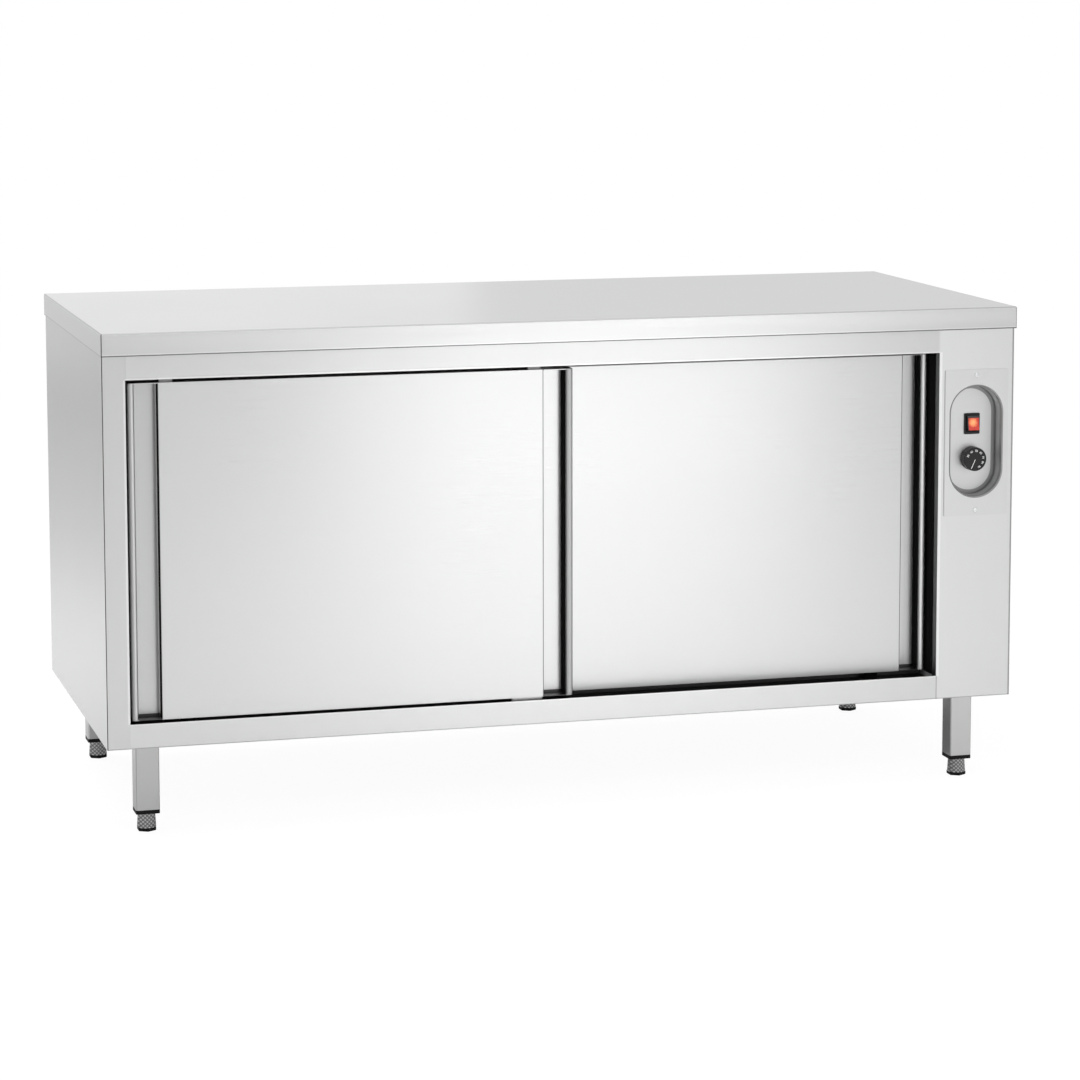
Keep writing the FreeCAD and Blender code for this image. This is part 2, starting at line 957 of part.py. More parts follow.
def plate_screws():
    """Two slotted round-head screws."""
    screws = []
    for side in (-1, 1):
        z = plate_centre_height + side * screw_spacing / 2
        head = cylinder_y(
            screw_head_radius, screw_head_height, column_centre, plate_face - screw_head_height, z,
        )
        crown = [edge for edge in head.Edges if near(edge.BoundBox.YMax, plate_face - screw_head_height)]
        head = head.makeFillet(screw_head_height - running_clearance, crown)
        shank = cylinder_y(screw_shank_radius, screw_length, column_centre, plate_face, z)
        slot = block(
            column_centre - screw_head_radius - cut_overrun,
            column_centre + screw_head_radius + cut_overrun,
            plate_face - screw_head_height - cut_overrun,
            plate_face - screw_head_height + screw_slot_depth,
            z - screw_slot_width / 2, z + screw_slot_width / 2,
        )
        screws.append(fuse([head, shank]).cut(slot))
    return screws


# Rocker switch

def pivot_y():
    return recess_floor + rocker_pivot_depth


def switch_housing():
    """Bezel and body of the snap-in switch, open at the front, with two flat terminals."""
    x = control_centre
    face = recess_floor - bezel_thickness
    bezel = block(
        x - bezel_width / 2, x + bezel_width / 2, face, recess_floor,
        switch_height - bezel_height / 2, switch_height + bezel_height / 2,
    )
    corners = [edge for edge in bezel.Edges if not near(edge.BoundBox.YLength, 0)]
    bezel = bezel.makeFillet(bezel_radius, corners)
    body = block(
        x - switch_body_width / 2, x + switch_body_width / 2,
        recess_floor, recess_floor + switch_body_depth,
        switch_height - switch_body_height / 2, switch_height + switch_body_height / 2,
    )
    room = block(
        x - switch_body_width / 2 + switch_wall, x + switch_body_width / 2 - switch_wall,
        face - cut_overrun, recess_floor + switch_body_depth - switch_wall,
        switch_height - switch_body_height / 2 + switch_wall,
        switch_height + switch_body_height / 2 - switch_wall,
    )
    pivot_hole = cylinder_x(
        trunnion_radius + running_clearance, rocker_width + 2 * trunnion_length + running_clearance,
        x - rocker_width / 2 - trunnion_length - running_clearance / 2, pivot_y(), switch_height,
    )
    pieces = [bezel, body]
    for side in (-1, 1):
        centre = switch_height + side * switch_body_height / 4
        pieces.append(block(
            x - terminal_width / 2, x + terminal_width / 2,
            recess_floor + switch_body_depth, recess_floor + switch_body_depth + terminal_length,
            centre - terminal_sheet / 2, centre + terminal_sheet / 2,
        ))
    return fuse(pieces).cut(room).cut(pivot_hole)


def switch_rocker():
    """Rocker with a shallow V face, tilted as it stands when switched on."""
    x = control_centre
    half = rocker_height / 2
    front = recess_floor - rocker_rise
    dip = rocker_height / 2 * math.tan(math.radians(rocker_tilt))
    outline = [
        Vector(x - rocker_width / 2, front + dip * rocker_dip_share, switch_height),
        Vector(x - rocker_width / 2, front, switch_height + half),
        Vector(x - rocker_width / 2, pivot_y(), switch_height + half),
        Vector(x - rocker_width / 2, pivot_y() + trunnion_radius * 2, switch_height),
        Vector(x - rocker_width / 2, pivot_y(), switch_height - half),
        Vector(x - rocker_width / 2, front, switch_height - half),
    ]
    face = Part.Face(Part.makePolygon(outline + outline[:1]))
    rocker = face.extrude(Vector(rocker_width, 0, 0))
    front_edges = edges_where(rocker, lambda point: near(point.y, front))
    rocker = rocker.makeFillet(rocker_edge_radius, front_edges)
    pins = cylinder_x(
        trunnion_radius, rocker_width + 2 * trunnion_length,
        x - rocker_width / 2 - trunnion_length, pivot_y(), switch_height,
    )
    rocker = fuse([rocker, pins])
    rocker.rotate(Vector(x, pivot_y(), switch_height), Vector(1, 0, 0), -rocker_tilt)
    return rocker


# Thermostat and knob

def thermostat_body():
    """Case behind the plate, with a threaded collar through it."""
    x = control_centre
    back = recess_floor + plate_sheet
    case = block(
        x - thermostat_width / 2, x + thermostat_width / 2, back, back + thermostat_depth,
        thermostat_height - thermostat_tall / 2, thermostat_height + thermostat_tall / 2,
    )
    collar = cylinder_y(
        thermostat_collar_radius, plate_sheet, x, recess_floor, thermostat_height,
    )
    bore = cylinder_y(
        shaft_radius + running_clearance, shaft_back_length + cut_overrun, x, recess_floor - cut_overrun,
        thermostat_height,
    )
    return fuse([case, collar]).cut(bore)


def thermostat_shaft():
    start = recess_floor - knob_floor_gap - knob_bore_length
    length = knob_bore_length + knob_floor_gap + shaft_back_length - cut_overrun
    return cylinder_y(shaft_radius, length, control_centre, start, thermostat_height)


def control_knob():
    """Fluted knob with a flat numbered face."""
    back = recess_floor - knob_floor_gap
    front = back - knob_height
    knob = cylinder_y(knob_radius, knob_height, control_centre, front, thermostat_height)
    rim = [edge for edge in knob.Edges if near(edge.BoundBox.YMax, front)]
    knob = knob.makeFillet(knob_front_radius, rim)
    flutes = []
    for index in range(knob_flute_count):
        angle = 2 * math.pi * index / knob_flute_count
        flutes.append(cylinder_y(
            knob_flute_radius, knob_height + 2 * cut_overrun,
            control_centre + (knob_radius + knob_flute_radius / 2) * math.cos(angle),
            front - cut_overrun,
            thermostat_height + (knob_radius + knob_flute_radius / 2) * math.sin(angle),
        ))
    knob = knob.cut(Part.makeCompound(flutes))
    bore = cylinder_y(
        shaft_radius, knob_bore_length, control_centre, back - knob_bore_length, thermostat_height,
    )
    return knob.cut(bore)


# Fan and heater

def fan_start():
    return opening_right + inner_sheet


def fan_housing():
    """Square fan frame with the motor held on spokes at its back."""
    x = fan_start()
    half = fan_size / 2
    frame = block(x, x + fan_depth, fan_back - half, fan_back + half, fan_height - half, fan_height + half)
    corners = [edge for edge in frame.Edges if not near(edge.BoundBox.XLength, 0)]
    frame = frame.makeFillet(fan_corner_radius, corners)
    frame = frame.cut(cylinder_x(
        fan_bore_radius, fan_depth + 2 * cut_overrun, x - cut_overrun, fan_back, fan_height,
    ))
    spoke_start = x + fan_depth - fan_spoke_depth
    spoke_reach = (fan_bore_radius + half) / 2
    upright = block(
        spoke_start, x + fan_depth, fan_back - fan_spoke_width / 2, fan_back + fan_spoke_width / 2,
        fan_height - spoke_reach, fan_height + spoke_reach,
    )
    across = block(
        spoke_start, x + fan_depth, fan_back - spoke_reach, fan_back + spoke_reach,
        fan_height - fan_spoke_width / 2, fan_height + fan_spoke_width / 2,
    )
    motor = cylinder_x(
        motor_radius, motor_depth, x + fan_depth - motor_depth, fan_back, fan_height,
    )
    shaft = cylinder_x(
        motor_shaft_radius, fan_depth - impeller_wall_gap, x + impeller_wall_gap,
        fan_back, fan_height,
    )
    return fuse([frame, upright, across, motor, shaft])


def fan_impeller():
    """Hub with pitched blades, turning on the motor's shaft."""
    x = fan_start() + impeller_wall_gap
    depth = fan_depth - motor_depth - impeller_wall_gap - impeller_motor_gap
    hub = cylinder_x(impeller_hub_radius, depth, x, fan_back, fan_height)
    pieces = [hub]
    length = impeller_radius - impeller_hub_radius
    for index in range(blade_count):
        blade = block(
            x + depth / 2 - blade_chord / 2, x + depth / 2 + blade_chord / 2,
            fan_back - blade_sheet / 2, fan_back + blade_sheet / 2,
            fan_height + impeller_hub_radius - blade_root_sink,
            fan_height + impeller_hub_radius + length,
        )
        centre = Vector(x + depth / 2, fan_back, fan_height)
        blade.rotate(centre, Vector(0, 0, 1), blade_pitch)
        blade.rotate(centre, Vector(1, 0, 0), index * 360 / blade_count)
        pieces.append(blade)
    whole = fuse(pieces)
    swept = cylinder_x(impeller_radius, depth, x, fan_back, fan_height)
    bore = cylinder_x(
        motor_shaft_radius + running_clearance, depth + 2 * cut_overrun,
        x - cut_overrun, fan_back, fan_height,
    )
    return whole.common(swept).cut(bore)


def heater_bottom():
    return fan_height - heater_loop_height / 2


def heater_tail_places():
    return [fan_back - heater_loop_width / 2, fan_back + heater_loop_width / 2]


def heater_element():
    """One rod bent to a loop round the fan, its two ends passing through the wall."""
    x = opening_right - heater_standoff
    low = heater_bottom()
    high = fan_height + heater_loop_height / 2
    left, right = heater_tail_places()
    end = opening_right + inner_sheet + heater_tail
    bend = heater_bend_radius
    small = heater_standoff - heater_rod_radius
    diagonal_share = 1 - math.sqrt(0.5)
    edges = [
        Part.LineSegment(Vector(end, left, low), Vector(x + small, left, low)).toShape(),
        Part.Arc(
            Vector(x + small, left, low),
            Vector(x + small * diagonal_share, left, low + small * diagonal_share),
            Vector(x, left, low + small),
        ).toShape(),
        Part.LineSegment(Vector(x, left, low + small), Vector(x, left, high - bend)).toShape(),
        Part.Arc(
            Vector(x, left, high - bend),
            Vector(x, left + bend * diagonal_share, high - bend * diagonal_share),
            Vector(x, left + bend, high),
        ).toShape(),
        Part.LineSegment(Vector(x, left + bend, high), Vector(x, right - bend, high)).toShape(),
        Part.Arc(
            Vector(x, right - bend, high),
            Vector(x, right - bend * diagonal_share, high - bend * diagonal_share),
            Vector(x, right, high - bend),
        ).toShape(),
        Part.LineSegment(Vector(x, right, high - bend), Vector(x, right, low + small)).toShape(),
        Part.Arc(
            Vector(x, right, low + small),
            Vector(x + small * diagonal_share, right, low + small * diagonal_share),
            Vector(x + small, right, low),
        ).toShape(),
        Part.LineSegment(Vector(x + small, right, low), Vector(end, right, low)).toShape(),
    ]
    path = Part.Wire(edges)
    section = Part.Wire([Part.Circle(
        Vector(end, left, low), Vector(-1, 0, 0), heater_rod_radius,
    ).toShape()])
    rod = path.makePipeShell([section], True, True)
    flanges = []
    for place in (left, right):
        flanges.append(cylinder_x(
            heater_flange_radius, heater_flange_thickness, opening_right + inner_sheet, place, low,
        ))
    return fuse([rod] + flanges)


def heater_cover():
    """Slotted pan over the heater on the cavity side."""
    half_width = cover_width / 2
    half_height = cover_height / 2
    back = opening_right
    front = back - cover_depth
    y0 = fan_back - half_width
    y1 = fan_back + half_width
    z0 = fan_height - half_height
    z1 = fan_height + half_height
    pan = block(front, back, y0, y1, z0, z1)
    room = block(
        front + inner_sheet, back + cut_overrun, y0 + inner_sheet, y1 - inner_sheet,
        z0 + inner_sheet, z1 - inner_sheet,
    )
    flange = block(
        back - inner_sheet, back, y0 - cover_flange, y1 + cover_flange,
        z0 - cover_flange, z1 + cover_flange,
    )
    window = block(
        back - inner_sheet - cut_overrun, back + cut_overrun, y0 + inner_sheet, y1 - inner_sheet,
        z0 + inner_sheet, z1 - inner_sheet,
    )
    cover = fuse([pan, flange]).cut(room).cut(window)
    pitch = (cover_height - 2 * cover_slot_margin) / (cover_slot_count - 1)
    slots = []
    for index in range(cover_slot_count):
        centre = z0 + cover_slot_margin + index * pitch
        slots.append(block(
            front - cut_overrun, front + cut_overrun, y0 + cover_slot_margin,
            y1 - cover_slot_margin, centre - cover_slot_height / 2, centre + cover_slot_height / 2,
        ))
    return cover.cut(Part.makeCompound(slots))


# Electrical inlet

def terminal_block():
    """Strip of screw terminals on the base of the column."""
    half = terminal_block_width / 2
    bottom = body_bottom + outer_sheet
    top = bottom + terminal_block_height
    y0 = terminal_block_back
    strip = block(
        column_centre - half, column_centre + half, y0, y0 + terminal_block_depth, bottom, top,
    )
    pitch = terminal_block_width / terminal_block_poles
    for index in range(terminal_block_poles):
        strip = strip.cut(cylinder_z(
            terminal_well_radius, terminal_well_depth + cut_overrun,
            column_centre - half + pitch * (index + 1 / 2), y0 + terminal_block_depth / 2,
            top - terminal_well_depth,
        ))
    return strip


def hexagon(radius, length, x, y, z):
    """Six-sided bar along +Y."""
    corners = []
    for index in range(hex_sides):
        angle = 2 * math.pi * index / hex_sides
        corners.append(Vector(x + radius * math.cos(angle), y, z + radius * math.sin(angle)))
    return Part.Face(Part.makePolygon(corners + corners[:1])).extrude(Vector(0, length, 0))


def cable_gland():
    """Gland body through the back panel with its dome nut, and a lock nut inside."""
    x = column_centre
    z = gland_height
    panel_back = body_back
    panel_front = body_back - outer_sheet
    dome = cylinder_y(gland_nut_radius, gland_dome_length, x, panel_back, z)
    rim = [edge for edge in dome.Edges if near(edge.BoundBox.YMin, panel_back + gland_dome_length)]
    dome = dome.makeFillet(gland_dome_length / 2, rim)
    thread = cylinder_y(
        gland_thread_radius, gland_inner_length + outer_sheet, x, panel_front - gland_inner_length, z,
    )
    bore = cylinder_y(
        gland_bore_radius, gland_inner_length + outer_sheet + gland_dome_length + 2 * cut_overrun,
        x, panel_front - gland_inner_length - cut_overrun, z,
    )
    body = fuse([dome, thread]).cut(bore)
    nut = hexagon(gland_nut_radius, gland_nut_thickness, x, panel_front - gland_nut_thickness, z)
    nut = nut.cut(cylinder_y(
        gland_thread_radius + running_clearance, gland_nut_thickness + 2 * cut_overrun,
        x, panel_front - gland_nut_thickness - cut_overrun, z,
    ))
    return [body, nut]


# Legs and feet

def leg_places():
    """Name and centre of each leg."""
    x = body_right - leg_side_inset - leg_size / 2
    y = body_back - leg_depth_inset - leg_size / 2
    return [
        ("front_left", -x, -y), ("front_right", x, -y),
        ("back_left", -x, y), ("back_right", x, y),
    ]


def square_bar(size, radius, x, y, z0, z1):
    half = size / 2
    bar = block(x - half, x + half, y - half, y + half, z0, z1)
    corners = [edge for edge in bar.Edges if not near(edge.BoundBox.ZLength, 0)]
    return bar.makeFillet(radius, corners)


def leg(x, y):
    bottom = cap_flange_bottom + cap_flange_height
    tube = square_bar(leg_size, leg_corner_radius, x, y, bottom, body_bottom)
    room = square_bar(
        leg_size - 2 * leg_wall, leg_corner_radius - leg_wall, x, y,
        bottom - cut_overrun, body_bottom + cut_overrun,
    )
    return tube.cut(room)


def leg_cap(x, y):
    """Plastic plug in the tube's end, with the bush that the foot screws into."""
    flange_top = cap_flange_bottom + cap_flange_height
    flange = square_bar(leg_size, leg_corner_radius, x, y, cap_flange_bottom, flange_top)
    plug = square_bar(
        leg_size - 2 * leg_wall - 2 * cap_plug_clearance, leg_corner_radius - leg_wall, x, y,
        flange_top, flange_top + cap_plug_height,
    )
    bore = cylinder_z(
        stem_radius + running_clearance, cap_flange_height + cap_plug_height + 2 * cut_overrun,
        x, y, cap_flange_bottom - cut_overrun,
    )
    return fuse([flange, plug]).cut(bore)


def foot_sleeve(x, y):
    """Knurled metal sleeve with the screw stem that rises into the cap."""
    top = cap_flange_bottom - foot_gap
    height = top - foot_base_height
    sleeve = Part.makeCone(foot_bottom_radius, foot_top_radius, height, Vector(x, y, foot_base_height))
    grooves = []
    for index in range(knurl_count):
        angle = 2 * math.pi * index / knurl_count
        low = Vector(
            x + foot_bottom_radius * math.cos(angle), y + foot_bottom_radius * math.sin(angle),
            foot_base_height,
        )
        high = Vector(
            x + foot_top_radius * math.cos(angle), y + foot_top_radius * math.sin(angle), top,
        )
        run = high - low
        start = low - run * knurl_overrun_share
        grooves.append(Part.makeCylinder(
            knurl_radius, run.Length * (1 + 2 * knurl_overrun_share), start, run,
        ))
    sleeve = sleeve.cut(Part.makeCompound(grooves))
    stem = cylinder_z(stem_radius, stem_length, x, y, top - foot_gap)
    return fuse([sleeve, stem])


def foot_base(x, y):
    """Six-sided plastic base, gripped to turn the foot."""
    corners = []
    for index in range(hex_sides):
        angle = 2 * math.pi * (index + 1 / 2) / hex_sides
        corners.append((x + foot_base_radius * math.cos(angle), y + foot_base_radius * math.sin(angle)))
    base = prism(corners, foot_base_height, 0)
    bottom = edges_where(base, lambda point: near(point.z, 0))
    return base.makeChamfer(foot_base_edge, bottom)


def save_legs():
    legs = []
    caps = []
    for name, x, y in leg_places():
        legs.append(leg(x, y))
        caps.append(leg_cap(x, y))
        save("foot_sleeve_" + name, foot_sleeve(x, y))
        save("foot_base_" + name, foot_base(x, y))
    save("legs", legs)
    save("leg_caps", caps)


def main():
    os.makedirs("parts", exist_ok=True)
    save("worktop", worktop())
    save("worktop_stiffeners", worktop_stiffeners())
    save("left_side_panel", left_side_panel())
    save("right_side_panel", right_side_panel())
    save("back_panel", back_panel())
    save("base_panel", base_panel())
    save("top_front_rail", top_front_rail())
    save("bottom_front_rail", bottom_front_rail())
    save("control_column_front", control_column_front())
    save("inner_left_wall", inner_left_wall())
    save("inner_right_wall", inner_right_wall())
    save("inner_back_wall", inner_back_wall())
    save("inner_ceiling", inner_ceiling())
    save("inner_floor", inner_floor())
    save("left_insulation", left_insulation())
    save("back_insulation", back_insulation())
    save("ceiling_insulation", ceiling_insulation())
    save("floor_insulation", floor_insulation())
    save("shelf", shelf())
    save("shelf_uprights", shelf_uprights())
    save("shelf_brackets", shelf_brackets())
    save("upper_track", upper_track())
    save_door("left", left_door_left, left_door_front, left_outer_grip_width, inner_grip_width)
    save_door("right", right_door_left, right_door_front, inner_grip_width, right_outer_grip_width)
    save("control_plate", control_plate())
    save("plate_screws", plate_screws())
    save("switch_housing", switch_housing())
    save("switch_rocker", switch_rocker())
    save("thermostat_body", thermostat_body())
    save("thermostat_shaft", thermostat_shaft())
    save("control_knob", control_knob())
    save("fan_housing", fan_housing())
    save("fan_impeller", fan_impeller())
    save("heater_element", heater_element())
    save("heater_cover", heater_cover())
    save("terminal_block", terminal_block())
    save("cable_gland", cable_gland())
    save_legs()


main()
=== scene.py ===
"""Looks of the plate warmer cabinet: finishes for every CAD piece, the marks on the
thermostat knob, the studio and the camera. Metres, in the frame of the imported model."""

import math

import bpy
from mathutils import Euler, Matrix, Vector


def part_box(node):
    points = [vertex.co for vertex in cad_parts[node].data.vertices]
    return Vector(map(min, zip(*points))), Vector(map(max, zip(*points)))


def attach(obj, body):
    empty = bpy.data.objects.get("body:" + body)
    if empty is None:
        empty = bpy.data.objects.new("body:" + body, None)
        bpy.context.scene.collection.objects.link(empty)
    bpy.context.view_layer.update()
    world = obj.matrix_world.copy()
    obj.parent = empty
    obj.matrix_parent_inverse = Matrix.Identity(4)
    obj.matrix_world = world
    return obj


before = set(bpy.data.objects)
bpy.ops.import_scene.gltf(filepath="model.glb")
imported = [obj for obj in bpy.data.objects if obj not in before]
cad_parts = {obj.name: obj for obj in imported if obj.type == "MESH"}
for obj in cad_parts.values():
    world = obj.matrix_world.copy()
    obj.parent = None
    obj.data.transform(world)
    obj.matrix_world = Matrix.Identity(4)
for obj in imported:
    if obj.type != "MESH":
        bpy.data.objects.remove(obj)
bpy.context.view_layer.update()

MM = 0.001

# Door grips, as wide and deep as the CAD folds them
left_outer_grip_width = 51.0 * MM
right_outer_grip_width = 47.0 * MM
inner_grip_width = 52.0 * MM
bar_width = 12.0 * MM
bar_radius = 5.0 * MM
panel_edge_radius = 1.1 * MM
door_sheet = 1.2 * MM

# Black strips on the grips' side walls, put there as painted shade; the leftmost one covers only the front
# of its wall
shade_strip_thickness = 0.5 * MM
shade_strip_foot = 1.6 * MM
short_shade_strip_depth = 18.0 * MM

# Black strips beside the doors, put there as painted shade on the cavity walls behind the jambs
jamb_strip_thickness = 2.0 * MM
jamb_strip_depth = 52.0 * MM
jamb_strip_end_gap = 0.6 * MM

# Plate under the left door
glide_length = 54.0 * MM
glide_inset = 2.0 * MM
glide_setback = 2.0 * MM
glide_depth = 10.0 * MM
glide_height = 9.0 * MM
glide_chamfer = 1.0 * MM

# Marks on the knob
dial_numbers = [30, 40, 50, 60, 70, 80, 90]
first_number_angle = math.radians(155.0)
number_step = math.radians(-35.9)
number_ring = 14.8 * MM
number_height = 3.6 * MM
digit_share = 0.7
mark_thickness = 0.12 * MM
mark_sink = 0.02 * MM
pointer_angle = math.radians(246.0)
pointer_start = 1.0 * MM
pointer_end = 17.5 * MM
pointer_width = 0.9 * MM
pointer_end_steps = 8

# Recess of the control plate, as the CAD has it: its centre in X and Z, and half the
# straight length of its sides
recess_centre = (729.25 * MM, 607.5 * MM)
recess_straight = 49.5 * MM

# Rocker: how far its front stays dark from the left, how far it is painted dark as shade from the top,
# where the lamp is in shares of its width and height, and how far its glow reaches
rocker_rim = 2.4 * MM
rocker_shade = 4.0 * MM
rocker_lamp_across = 0.48
rocker_lamp_up = 0.58
glow_core = 1.0 * MM
glow_reach = 9.5 * MM

# Camera, as fitted to the photograph's edges
photo_side = 1080
focal_pixels = 3523.97
principal_point = (580.0, 378.0)
camera_place = (-1.62113, -6.0097, 1.46615)
camera_pitch = 1.44883
camera_turn = -0.28012
sensor_width = 36.0


# Node trees

class Finish:
    """A material with one main shader, to which patterns are added."""

    def __init__(self, name, **values):
        self.material = bpy.data.materials.new(name)
        self.material.use_nodes = True
        self.tree = self.material.node_tree
        self.tree.nodes.clear()
        self.output = self.tree.nodes.new("ShaderNodeOutputMaterial")
        self.shader = self.add("ShaderNodeBsdfPrincipled")
        self.join(self.shader.outputs["BSDF"], self.output.inputs["Surface"])
        for socket, value in values.items():
            self.shader.inputs[socket.replace("_", " ")].default_value = value
        self.spot = None

    def add(self, kind, **settings):
        node = self.tree.nodes.new(kind)
        for key, value in settings.items():
            setattr(node, key, value)
        return node

    def join(self, source, target):
        self.tree.links.new(source, target)

    def drive(self, source, socket):
        """Feed one socket of the main shader."""
        self.join(source, self.shader.inputs[socket])

    def place(self, scale, turn=(0.0, 0.0, 0.0)):
        """Coordinates fixed to the piece, in metres times a scale for each axis."""
        where = self.add("ShaderNodeTexCoord")
        mapping = self.add("ShaderNodeMapping")
        mapping.inputs["Scale"].default_value = scale
        mapping.inputs["Rotation"].default_value = turn
        self.join(where.outputs["Object"], mapping.inputs["Vector"])
        return mapping.outputs["Vector"]

    def along(self, axis):
        """Place on one axis in metres; R is the distance from the recess's middle line."""
        if self.spot is None:
            self.spot = self.add("ShaderNodeSeparateXYZ")
            self.join(self.place((1.0, 1.0, 1.0)), self.spot.inputs["Vector"])
        if axis != "R":
            return self.spot.outputs[axis]
        across = self.sum("SUBTRACT", self.spot.outputs["X"], recess_centre[0])
        upright = self.sum("ABSOLUTE", self.sum("SUBTRACT", self.spot.outputs["Z"], recess_centre[1]), 0.0)
        beyond = self.sum("MAXIMUM", self.sum("SUBTRACT", upright, recess_straight), 0.0)
        square = self.sum("ADD", self.sum("POWER", across, 2.0), self.sum("POWER", beyond, 2.0))
        return self.sum("SQRT", square, 0.0)

    def marked(self, spans):
        """One inside a box given by millimetre spans on some of the axes; elsewhere zero."""
        inside = None
        for axis, (low, high) in spans.items():
            node = self.add("ShaderNodeMath", operation="COMPARE")
            self.join(self.along(axis), node.inputs[0])
            node.inputs[1].default_value = (low + high) / 2 * MM
            node.inputs[2].default_value = (high - low) / 2 * MM
            within = node.outputs["Value"]
            inside = within if inside is None else self.sum("MULTIPLY", inside, within)
        return inside

    def noise(self, scale, detail=2.0, roughness=0.5):
        """Soft noise, with its own scale for each axis."""
        node = self.add("ShaderNodeTexNoise")
        node.inputs["Scale"].default_value = 1.0
        node.inputs["Detail"].default_value = detail
        node.inputs["Roughness"].default_value = roughness
        self.join(self.place(scale), node.inputs["Vector"])
        return node.outputs["Fac"]

    def spread(self, source, low, high, from_low=0.3, from_high=0.7):
        """Stretch a pattern's values to a range."""
        node = self.add("ShaderNodeMapRange")
        node.inputs["From Min"].default_value = from_low
        node.inputs["From Max"].default_value = from_high
        node.inputs["To Min"].default_value = low
        node.inputs["To Max"].default_value = high
        self.join(source, node.inputs["Value"])
        return node.outputs["Result"]

    def sum(self, operation, first, second):
        """One step of arithmetic; each side is a socket or a number."""
        node = self.add("ShaderNodeMath", operation=operation)
        for index, value in enumerate((first, second)):
            if isinstance(value, (int, float)):
                node.inputs[index].default_value = value
            else:
                self.join(value, node.inputs[index])
        return node.outputs["Value"]

    def blend(self, factor, dark, pale):
        """Colour between two, by a pattern; each is a colour or a socket."""
        node = self.add("ShaderNodeMix", data_type="RGBA")
        self.join(factor, node.inputs["Factor"])
        for socket, value in ((node.inputs[6], dark), (node.inputs[7], pale)):
            if isinstance(value, tuple):
                socket.default_value = value + (1.0,)
            else:
                self.join(value, socket)
        return node.outputs[2]

    def bump(self, pattern, height, strength):
        """Relief from a pattern, with its height in metres."""
        node = self.add("ShaderNodeBump")
        node.inputs["Strength"].default_value = strength
        node.inputs["Distance"].default_value = height
        self.join(pattern, node.inputs["Height"])
        self.drive(node.outputs["Normal"], "Normal")


def shade(colour, factor):
    return tuple(min(1.0, channel * factor) for channel in colour)


# Metals

# Pattern scales, per metre
grain_fine = 2400.0
grain_long = 9.0
cloud_scale = 2.2
knurl_scale = 66.0
GRAIN_SCALES = {
    "x": (grain_long, grain_fine, grain_fine),
    "z": (grain_fine, grain_fine, grain_long),
}

# How much a sheet's colour and roughness vary, and how much rougher its blurred boxes are
sheet_variation = 0.015
grain_roughness = 0.02
cloud_roughness = 0.015
bar_blur = 0.2

# Height and strength of the grain, the plating and the knurl as relief
grain_height = 0.01 * MM
grain_relief = 0.2
plating_height = 0.03 * MM
plating_relief = 0.3
knurl_height = 0.4 * MM
knurl_relief = 0.6


def satin_steel(
    name, colour, roughness, grain, stretch=0.6, tangent_axis="Z", painted_shading=(), blurred=(),
    metal=1.0,
):
    """Ground stainless sheet: fine long grain, faint rolling clouds, and painted shade in the
    gaps and painted highlights on the bends of folded edges. A painted mark is a box of
    millimetre spans, how far the sheet's colour changes there, and the colour it changes to.
    Blurred boxes are rougher than the sheet. A grain along X turns the stretched gloss by a quarter."""
    finish = Finish(name, Metallic=metal, Anisotropic=stretch)
    finish.shader.inputs["Anisotropic Rotation"].default_value = 0.25 if grain == "x" else 0.0
    tangent = finish.add("ShaderNodeTangent", direction_type="RADIAL", axis=tangent_axis)
    finish.drive(tangent.outputs["Tangent"], "Tangent")
    lines = finish.noise(GRAIN_SCALES[grain], detail=3.0, roughness=0.6)
    clouds = finish.noise((cloud_scale, cloud_scale, cloud_scale), detail=3.0)
    tone = finish.sum("ADD", finish.spread(lines, 0.0, 0.5), finish.spread(clouds, 0.0, 0.5))
    sheet = finish.blend(
        tone, shade(colour, 1.0 - sheet_variation), shade(colour, 1.0 + sheet_variation),
    )
    # Painted shade and painted light: each box moves the sheet's colour towards a dark or a pale tone
    for spans, depth, edge_tone in painted_shading:
        edge = finish.sum("MULTIPLY", finish.marked(spans), depth)
        sheet = finish.blend(edge, sheet, edge_tone)
    finish.drive(sheet, "Base Color")
    handled = finish.spread(clouds, -cloud_roughness, cloud_roughness)
    ground = finish.spread(lines, roughness - grain_roughness, roughness + grain_roughness)
    worn = finish.sum("ADD", ground, handled)
    for spans in blurred:
        rougher = finish.sum("MULTIPLY", finish.marked(spans), bar_blur)
        worn = finish.sum("ADD", worn, rougher)
    finish.drive(worn, "Roughness")
    finish.bump(lines, grain_height, grain_relief)
    return finish.material


def zinc(name, colour, roughness):
    """Bright plated steel with faint mottling."""
    finish = Finish(name, Metallic=1.0)
    mottle = finish.noise((180.0, 180.0, 180.0), detail=3.0)
    finish.drive(
        finish.blend(finish.spread(mottle, 0.0, 1.0), shade(colour, 0.9), shade(colour, 1.06)),
        "Base Color",
    )
    finish.drive(finish.spread(mottle, roughness - 0.06, roughness + 0.08), "Roughness")
    finish.bump(finish.noise((900.0, 900.0, 900.0)), plating_height, plating_relief)
    return finish.material


